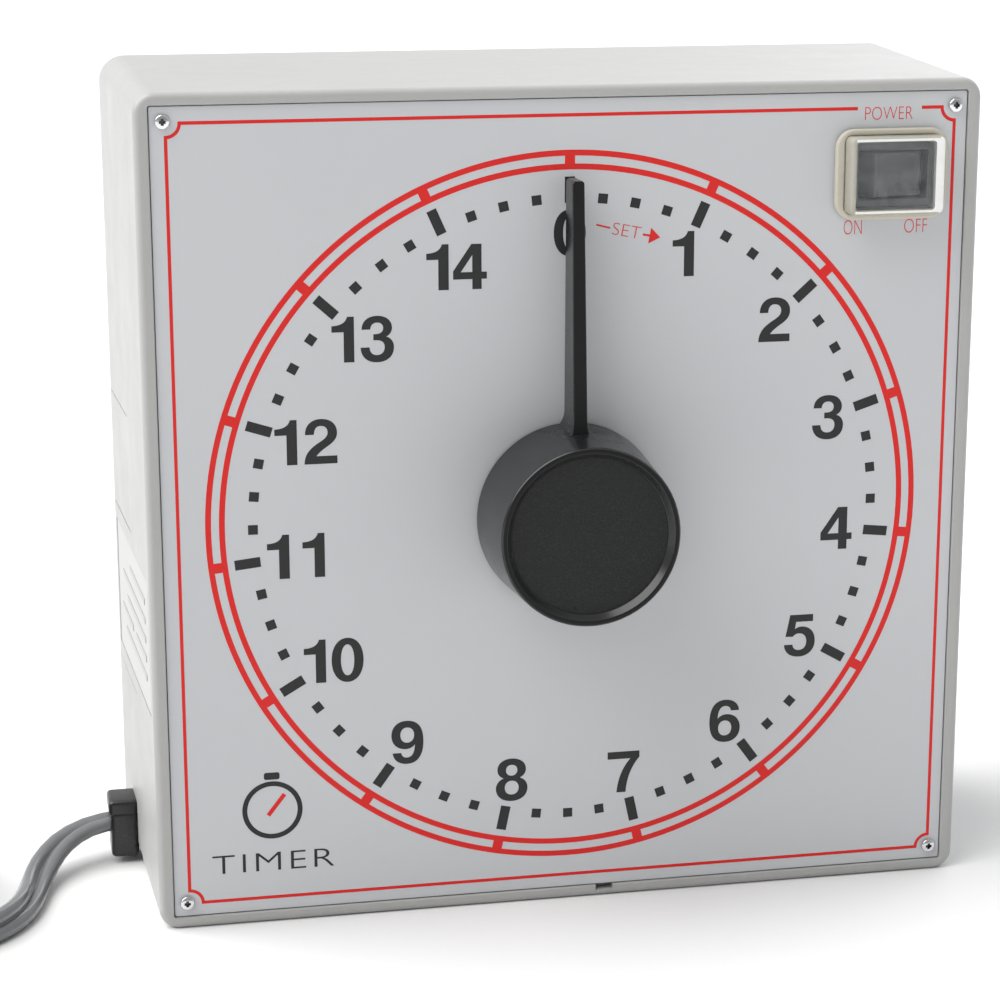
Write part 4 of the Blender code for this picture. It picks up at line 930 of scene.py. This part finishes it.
def make_knob():
    """The knob with its long hand, one moulding: a pebbled front inside a smooth rim, and a hollow back."""
    front = KNOB_HEIGHT - KNOB_DISH
    pebbled = [(0.0, front), (6.0, front), (12.0, front), (17.45, front)]
    rim = [(17.7, front + 0.1), (17.85, front + 0.3), (18.8, KNOB_HEIGHT - 0.22), (18.95, KNOB_HEIGHT - 0.05),
           (19.15, KNOB_HEIGHT), (19.35, KNOB_HEIGHT)]
    rim += [(19.4 + KNOB_EDGE * math.sin(a), KNOB_HEIGHT - KNOB_EDGE + KNOB_EDGE * math.cos(a))
            for a in [math.radians(t) for t in range(10, 91, 10)]]
    rim += [(20.25, KNOB_HEIGHT - 1.2), (21.46, 1.7), (21.5, 1.4), (21.35, 1.25), (21.2, 1.2), (19.2, 1.2)]
    inside = [(17.9, 18.6), (8.0, 18.6), (8.0, 4.9), (7.7, 4.6), (5.1, 4.6), (5.1, 17.2), (0.0, 17.2)]
    profile = pebbled + rim + inside
    tags = [1] * (len(pebbled) - 1)
    tags += [0] * (len(profile) - 1 - len(tags))
    body = spun(profile, "knob_body", 160, 30.0, tags)
    bm = bmesh.new()
    bmesh.ops.create_cone(bm, cap_ends=True, segments=32, radius1=2.2 * MM, radius2=2.2 * MM, depth=26.5 * MM)
    bm.transform(Matrix.Translation((0.0, -16.75 * MM, 11.0 * MM)) @ Matrix.Rotation(math.pi / 2, 4, "X"))
    body = carved(body, [mesh_from(bm, "set_screw_way")], "knob_body")

    stations = [19.6, 19.9] + [20.2 + 0.45 * step for step in range(11)]
    stations += [27.0 + 7.0 * step for step in range(7)]
    rings = []
    for y in stations + [HAND_TIP - 0.6, HAND_TIP - 0.25, HAND_TIP - 0.06, HAND_TIP]:
        bend = max(0.0, 1 - (y - 20.2) / 4.5)
        flare = 1 - math.sqrt(max(0.0, 1 - min(bend, 1.0) ** 2))
        x = 1.6 - 0.25 * max(0.0, y - 25.0) / (HAND_TIP - 25.0)
        if y > HAND_TIP - 0.6:
            x -= 0.5 * ((y - HAND_TIP + 0.6) / 0.6) ** 2
        top = 11.6 - (11.6 - 8.5) * max(0.0, y - 19.9) / (HAND_TIP - 19.9)
        outline = rounded(0.0, (top + 2.0) / 2, 2 * x, top - 2.0, 0.28, 4)
        ring = []
        for px, pz in outline:
            back = (top - pz) / (top - 2.0)
            ring.append(Vector((px + math.copysign(flare * (0.8 + 3.0 * back), px), y, pz)) * MM)
        rings.append(ring)
    hand = loft(rings, "hand", True, False, 35.0)
    dot = spun([(0.0, 0.12), (0.25, 0.1), (0.38, 0.0), (0.38, -0.1)], "mould_dot", 16)
    parts = [(body, UNMOVED), (hand, UNMOVED), (dot, Matrix.Translation(Vector((-3.4, -16.0, front)) * MM))]
    data = joined(parts, "knob")
    for face in data.polygons:
        if face.material_index == 0 and face.normal.z > 0.9 and face.center.z > 5 * MM:
            face.material_index = 2
    add_piece("knob", data, [BLACK_PLASTIC, KNOB_FRONT, HAND_BLACK], "knob",
              ("pointer_knob",), face_matrix(DIAL_X, DIAL_Z, 0.0), flat=True)


# Switch ---------------------------------------------------------------------------------------

SURROUND_HEIGHT = 2.0
COVER_WIDE = 22.0
COVER_TALL = 17.4
COVER_HEIGHT = 6.2
# Width of the strip along the cover's right front edge that carries the painted highlight
HIGHLIGHT_STRIP = 1.2
BARREL = (17.4, 13.2)
ROCKER_HOLE = (16.2, 10.8)
ROCKER_TOP = 5.0
ROCKER_LOW = -3.2
ROCKER_RADIUS = 7.6
ROCKER_LONG = 10.0
ROCKER_DIP = 0.9
ROCKER_TILT_DEG = 10


def cover_ring(wide, tall, grow, height, corner):
    outline = rounded(0, 0, wide + 2 * grow, tall + 2 * grow, corner, 6)
    return [Vector((x, y, height)) * MM for x, y in outline]


def make_surround():
    """The cream rubber frame that holds the cover's edge."""
    loops = [rounded(0, 0, 26.2, 20.4, 4.2, 12), rounded(0, 0, 22.2, 17.6, 1.6, 6)]
    add_piece("switch_surround", flat_mesh(loops, "switch_surround", 1.7, 0.5, 4), [CREAM_RUBBER], "case",
              ("switch_boot_frame",), face_matrix(SWITCH_X, SWITCH_Z, SURROUND_HEIGHT),
              flat=True)


def make_cover():
    """The clear cover: see-through in front, cream at its walls, with a near-white painted highlight at its
    front edge and right side.
    """
    rings = [cover_ring(COVER_WIDE, COVER_TALL, *ring)
             for ring in ((-0.9, 0.3, 0.5), (0.0, 0.3, 1.2), (0.0, 5.6, 1.2), (-0.06, 5.85, 1.2),
                          (-0.18, 6.05, 1.0), (-0.4, 6.18, 0.9), (-0.6, COVER_HEIGHT, 0.8),
                          (-0.95, COVER_HEIGHT, 0.8))]
    # Pull the right of the top in, leaving a front strip for the painted highlight
    rings.append([Vector((x - (HIGHLIGHT_STRIP * MM if x > 9.0 * MM else 0.0), y, z)) for x, y, z in rings[-1]])
    outer = loft(rings, "boot_outer", True, False, 40.0)
    core = loft([cover_ring(19.8, 15.9, grow, height, 0.5)
                 for grow, height in ((0.0, -1.0), (0.0, 5.0), (-0.15, 5.3), (-0.4, 5.4))],
                "boot_core", True, False, 40.0)
    boot = carved(outer, [core], "switch_cover")
    for face in boot.polygons:
        x, y, z = face.center / MM
        front = face.normal.z > 0.5 and z > 5.9
        highlight_front_edge = front and x > -9.8 and (abs(y) < 8.3 or x > 9)
        highlight_right_inside = face.normal.x < -0.9 and x > 0.0
        if abs(face.normal.z) > 0.9 and z > 5.3 and face.area > 60 * MM * MM:
            face.material_index = 1
        # The front edge and the right inner wall take the near-white material: a painted highlight for light
        # caught in the clear vinyl
        elif highlight_right_inside or highlight_front_edge:
            face.material_index = 2
    add_piece("switch_cover", boot, [CLEAR_WALL, CLEAR_FRONT, CLEAR_EDGE_HIGHLIGHT], "case",
              ("switch_boot",), face_matrix(SWITCH_X, SWITCH_Z, 0.0))


def make_switch_body():
    hole = rounded(0, 0, *ROCKER_HOLE, 0.4, 4)
    bezel = flat_mesh([rounded(0, 0, 18.4, 14.8, 1.0, 6), hole], "bezel_rim", 2.4, 0.35, 3)
    barrel = flat_mesh([rounded(0, 0, *BARREL, 0.4, 3), hole], "barrel", 8.0)
    back = flat_mesh([rounded(0, 0, *BARREL, 0.4, 3)], "barrel_back", 14.8)
    parts = [(data, Matrix.Translation((0, 0, height * MM)))
             for data, height in ((bezel, 2.7), (barrel, 0.8), (back, -7.2))]
    add_piece("switch_body", joined(parts, "switch_body"), [DARK_GREY_PLASTIC], "case",
              ("power_switch",), face_matrix(SWITCH_X, SWITCH_Z, 0.0), flat=True)


def make_rocker():
    """The rocker: round ends about its pivot, and a shallow dip across its front."""
    right = []
    for step in range(13):
        height = ROCKER_LOW + (ROCKER_TOP - 0.35 - ROCKER_LOW) * step / 12
        right.append((math.sqrt(ROCKER_RADIUS ** 2 - height ** 2), height))
    edge_x = math.sqrt(ROCKER_RADIUS ** 2 - ROCKER_TOP ** 2)
    right += [(edge_x + 0.02, ROCKER_TOP - 0.12), (edge_x - 0.2, ROCKER_TOP)]
    right.append((edge_x - 0.6, ROCKER_TOP - 0.02))
    dip = [(edge_x * (1 - i / 6), ROCKER_TOP - ROCKER_DIP * (1 - (1 - i / 6) ** 2)) for i in range(1, 7)]
    side = right + dip + [(-x, y) for x, y in reversed(right + dip[:-1])]
    tilt = Matrix.Rotation(math.radians(ROCKER_TILT_DEG), 4, "Z")
    pivot = Matrix.Translation(place(SWITCH_X, 1.5, SWITCH_Z)) @ tilt
    upright = Matrix.Rotation(math.pi, 4, "X") @ Matrix.Translation((0, 0, ROCKER_LONG / 2 * MM))
    add_piece("rocker", flat_mesh([side], "rocker", ROCKER_LONG, 0.35, 3), [ROCKER_PLASTIC], "rocker",
              ("power_rocker",), pivot @ upright, flat=True)


# Power lead -----------------------------------------------------------------------------------

CORD_THICK = 3.6
CORD_WIDE = 7.2
# From inside the gland to the coil: x, depth, z
CORD_ROUTE = [
    (-92.5, 48.0, 9.7), (-98.5, 48.0, 9.7), (-102.5, 48.0, 9.7), (-108.3, 47.3, 9.2), (-113.6, 44.6, 7.8),
    (-117.6, 40.2, 6.1), (-120.4, 34.6, 4.4), (-122.2, 28.0, 3.0), (-123.4, 21.0, 2.2), (-124.6, 14.2, 1.9),
    (-126.8, 7.8, 1.85), (-130.4, 2.0, 1.85), (-135.4, -2.8, 1.85), (-141.4, -6.2, 1.95), (-148.0, -8.6, 2.3),
    (-155.0, -10.9, 2.8), (-163.0, -13.2, 3.3),
]
# From the coil to the plug
TAIL_ROUTE = [
    (-232.3, 32.0, 10.8), (-232.8, 39.0, 9.8), (-232.3, 46.0, 8.6), (-230.9, 53.0, 7.6), (-229.3, 60.0, 6.9),
    (-227.9, 67.7, 6.6), (-227.5, 71.0, 6.6),
]
COIL_X = -182.5
COIL_DEPTH = 31.0
COIL_Z = 3.7
COIL_RADIUS = 46.2
COIL_TURNS = 6.29
COIL_START_DEG = -72
FIRST_LAYER = 3.35
SECOND_LAYER = 3.95
LAYER_RISE = 7.5
POINTS_PER_TURN = 44
GROOVE_DEG = 20.0
# Lengths along the lead, from its start, between which it turns on edge
UPRIGHT_FROM = 14.0
UPRIGHT_TO = 92.0
# Lengths before its end, where it starts to lie flat again, and how far that takes
FLAT_BEFORE_END = 62.0
FLATTEN_OVER = 45.0


def spline_points(points, spacing):
    """Points about one spacing apart on a smooth curve through the given ones."""
    knots = [Vector(p) for p in points]
    ends = [2 * knots[0] - knots[1]] + knots + [2 * knots[-1] - knots[-2]]
    dense = []
    for a, b, c, d in zip(ends, ends[1:], ends[2:], ends[3:]):
        for step in range(16):
            t = step / 16
            dense.append((2 * b + (c - a) * t + (2 * a - 5 * b + 4 * c - d) * t ** 2
                          + (3 * b - a - 3 * c + d) * t ** 3) / 2)
    dense.append(knots[-1])
    picked = [dense[0]]
    for point in dense[1:]:
        if (point - picked[-1]).length >= spacing:
            picked.append(point)
    if (picked[-1] - dense[-1]).length < spacing / 2:
        picked.pop()
    picked.append(dense[-1])
    return picked


def coil_points():
    """The turns of the coil, seen from above clockwise: inwards on the floor, then outwards on top."""
    turns = []
    steps = int(COIL_TURNS * POINTS_PER_TURN)
    for step in range(steps + 1):
        share = step / steps * COIL_TURNS
        angle = math.radians(COIL_START_DEG) - 2 * math.pi * share
        if share < FIRST_LAYER:
            radius = COIL_RADIUS - 3.75 * share
            z = COIL_Z
        elif share < SECOND_LAYER:
            t = (share - FIRST_LAYER) / 0.6
            t = t * t * (3 - 2 * t)
            radius = 33.64 + 0.2 * t
            z = COIL_Z + LAYER_RISE * t
        else:
            radius = 33.84 + 3.85 * (share - SECOND_LAYER)
            z = COIL_Z + LAYER_RISE
        turns.append(Vector((COIL_X + radius * math.cos(angle), COIL_DEPTH + radius * math.sin(angle), z)))
    return turns


def lead_section(steps=9):
    """The outline of the flat twin lead, as (across, through) from its middle."""
    lobe = CORD_THICK / 2
    apart = CORD_WIDE / 2 - lobe
    half = arc(apart, 0.0, lobe, -180 + GROOVE_DEG, 180 - GROOVE_DEG, steps)
    return half + [(-x, -y) for x, y in half]


def sweep_flat(points, section, widths, name):
    """A skin whose section's long side follows the given direction at each point."""
    rings = []
    for i, point in enumerate(points):
        ahead = (points[min(i + 1, len(points) - 1)] - points[max(i - 1, 0)]).normalized()
        wide = (widths[i] - ahead * widths[i].dot(ahead)).normalized()
        thin = ahead.cross(wide)
        rings.append([place(*(point + wide * across + thin * through)) for across, through in section])
    return loft(rings, name, True, False, 40.0)


def eased(amount):
    """A 0 to 1 value that starts and stops gently."""
    amount = min(max(amount, 0.0), 1.0)
    return amount * amount * (3 - 2 * amount)


def make_lead():
    """The whole lead as one skin, flat at both ends and on edge in the coil, never under the floor."""
    points = spline_points(CORD_ROUTE, 4.0) + coil_points()[1:-1] + spline_points(TAIL_ROUTE, 4.0)
    smooth = points[:]
    for _ in range(2):
        inner = [(a + 2 * b + c) / 4 for a, b, c in zip(smooth, smooth[1:], smooth[2:])]
        smooth = [smooth[0], *inner, smooth[-1]]
    points = points[:3] + smooth[3:-3] + points[-3:]
    lengths = [0.0]
    for first, second in zip(points, points[1:]):
        lengths.append(lengths[-1] + (second - first).length)
    flat_from = lengths[-1] - FLAT_BEFORE_END
    widths = []
    for i, length in enumerate(lengths):
        ahead = points[min(i + 1, len(points) - 1)] - points[max(i - 1, 0)]
        level = Vector((ahead.y, -ahead.x, 0.0)).normalized()
        rise = eased((length - UPRIGHT_FROM) / (UPRIGHT_TO - UPRIGHT_FROM))
        fall = eased((length - flat_from) / FLATTEN_OVER)
        turn = (rise - fall) * math.pi / 2
        widths.append(level * math.cos(turn) + Vector((0.0, 0.0, 1.0)) * math.sin(turn))
        lowest = 0.05 + CORD_THICK / 2 + (CORD_WIDE - CORD_THICK) / 2 * abs(math.sin(turn))
        points[i].z = max(points[i].z, lowest)
    data = sweep_flat(points, lead_section(), widths, "power_lead")
    lead = add_piece("power_lead", data, [CORD_VINYL], "case",
                     ("power_cord", "cord_coil", "power_cord_tail"))
    return lead, [place(*p) for p in points]


PLUG_ROUND = 1.2
PLUG_STEPS = 72


def make_plug():
    """A moulded two-blade plug: a waisted grip with ribs, and a plain narrow neck where the lead goes in."""
    low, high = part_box("plug_body")
    middle = (low + high) / 2
    half_length = (high.y - low.y) / 2 / MM
    rings = []
    for step in range(PLUG_STEPS + 1):
        t = step / PLUG_STEPS
        y = -half_length + 2 * half_length * t
        half_x = 5.2 + 5.9 * (t ** 1.4 * (3 - 2 * t ** 1.4)) ** 0.9
        half_z = 4.0 + 2.2 * t ** 0.9
        waist = math.exp(-((t - 0.62) / 0.16) ** 2)
        half_x -= 0.9 * waist
        if 0.38 < t < 0.86:
            rib = 0.5 - 0.5 * math.cos((t - 0.38) / 0.48 * 2 * math.pi * 5)
            half_x -= 0.32 * rib
            half_z -= 0.18 * rib
        if t > 0.90:
            half_x += 0.35
            half_z += 0.15
        near_end = min(t, 1 - t) * 2 * half_length
        if near_end < PLUG_ROUND:
            pull = PLUG_ROUND - math.sqrt(max(0.0, PLUG_ROUND ** 2 - (PLUG_ROUND - near_end) ** 2))
            half_x -= pull
            half_z -= pull
        ring = []
        for i in range(48):
            a = 2 * math.pi * i / 48
            across = math.copysign(abs(math.cos(a)) ** 0.55, math.cos(a)) * half_x
            up = math.copysign(abs(math.sin(a)) ** 0.55, math.sin(a)) * half_z
            ring.append(middle + Vector((across, y, up)) * MM)
        rings.append(ring)
    return add_piece("plug", loft(rings, "plug", True, False, 45.0), [CORD_VINYL], "case",
                     ("plug_body",))


RELIEF_WALL = -97.0
FLOOR_SIZE_M = 28
CORD_WAY_DEPTHS = (44.15, 51.85)


def make_relief():
    """The two halves of the strain relief, clamped in the side plate."""
    pieces = []
    for name, rounding in (("strain_relief", 1.15), ("strain_relief_wedge", 1.1)):
        low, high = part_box(name)
        outer = soft_box(name + "_shell", (low.x / MM, low.y / MM - FACE_Y, low.z / MM),
                         (RELIEF_WALL, high.y / MM - FACE_Y, high.z / MM), rounding, 5)
        tools = []
        if name == "strain_relief":
            near, far = CORD_WAY_DEPTHS
            tools.append(soft_box("way", (low.x / MM - 3, near, 7.5), (RELIEF_WALL + 5, far, 25.0), 0.0))
        grip = carved(outer, tools, name + "_grip")
        pieces.append(add_piece(name + "_grip", grip, [RELIEF_PLASTIC], "case", (name,)))
    return pieces


def make_floor():
    data = bpy.data.meshes.new("floor")
    half = FLOOR_SIZE_M / 2
    corners = [(-half, -half, 0), (half, -half, 0), (half, half, 0), (-half, half, 0)]
    data.from_pydata(corners, [], [(0, 1, 2, 3)])
    floor = bpy.data.objects.new("floor", data)
    bpy.context.scene.collection.objects.link(floor)
    sweep = Nodes("paper")
    fibre = sweep.noise(700.0, 4.0)
    sweep.bump((fibre, 0.00002))
    sweep.set(Base_Color=sweep.blend(fibre, (0.74, 0.74, 0.74), (0.76, 0.76, 0.76)), Roughness=0.9)
    data.materials.append(sweep.material)


make_camera()
make_world(0.76, 0.42)
make_sun("key", (-0.76, 0.02, 1.0), 3.9, 66, (1.0, 0.995, 0.985))
make_sun("fill", (0.9, 0.75, 0.55), 1.1, 60, (0.97, 0.985, 1.0))
dress_nodes()
make_case()
make_label_print()
make_rear_cover()
make_screws()
make_print()
make_knob()
make_surround()
make_cover()
make_switch_body()
make_rocker()
LEAD, LEAD_PATH = make_lead()
PLUG = make_plug()
RELIEF = make_relief()

make_floor()
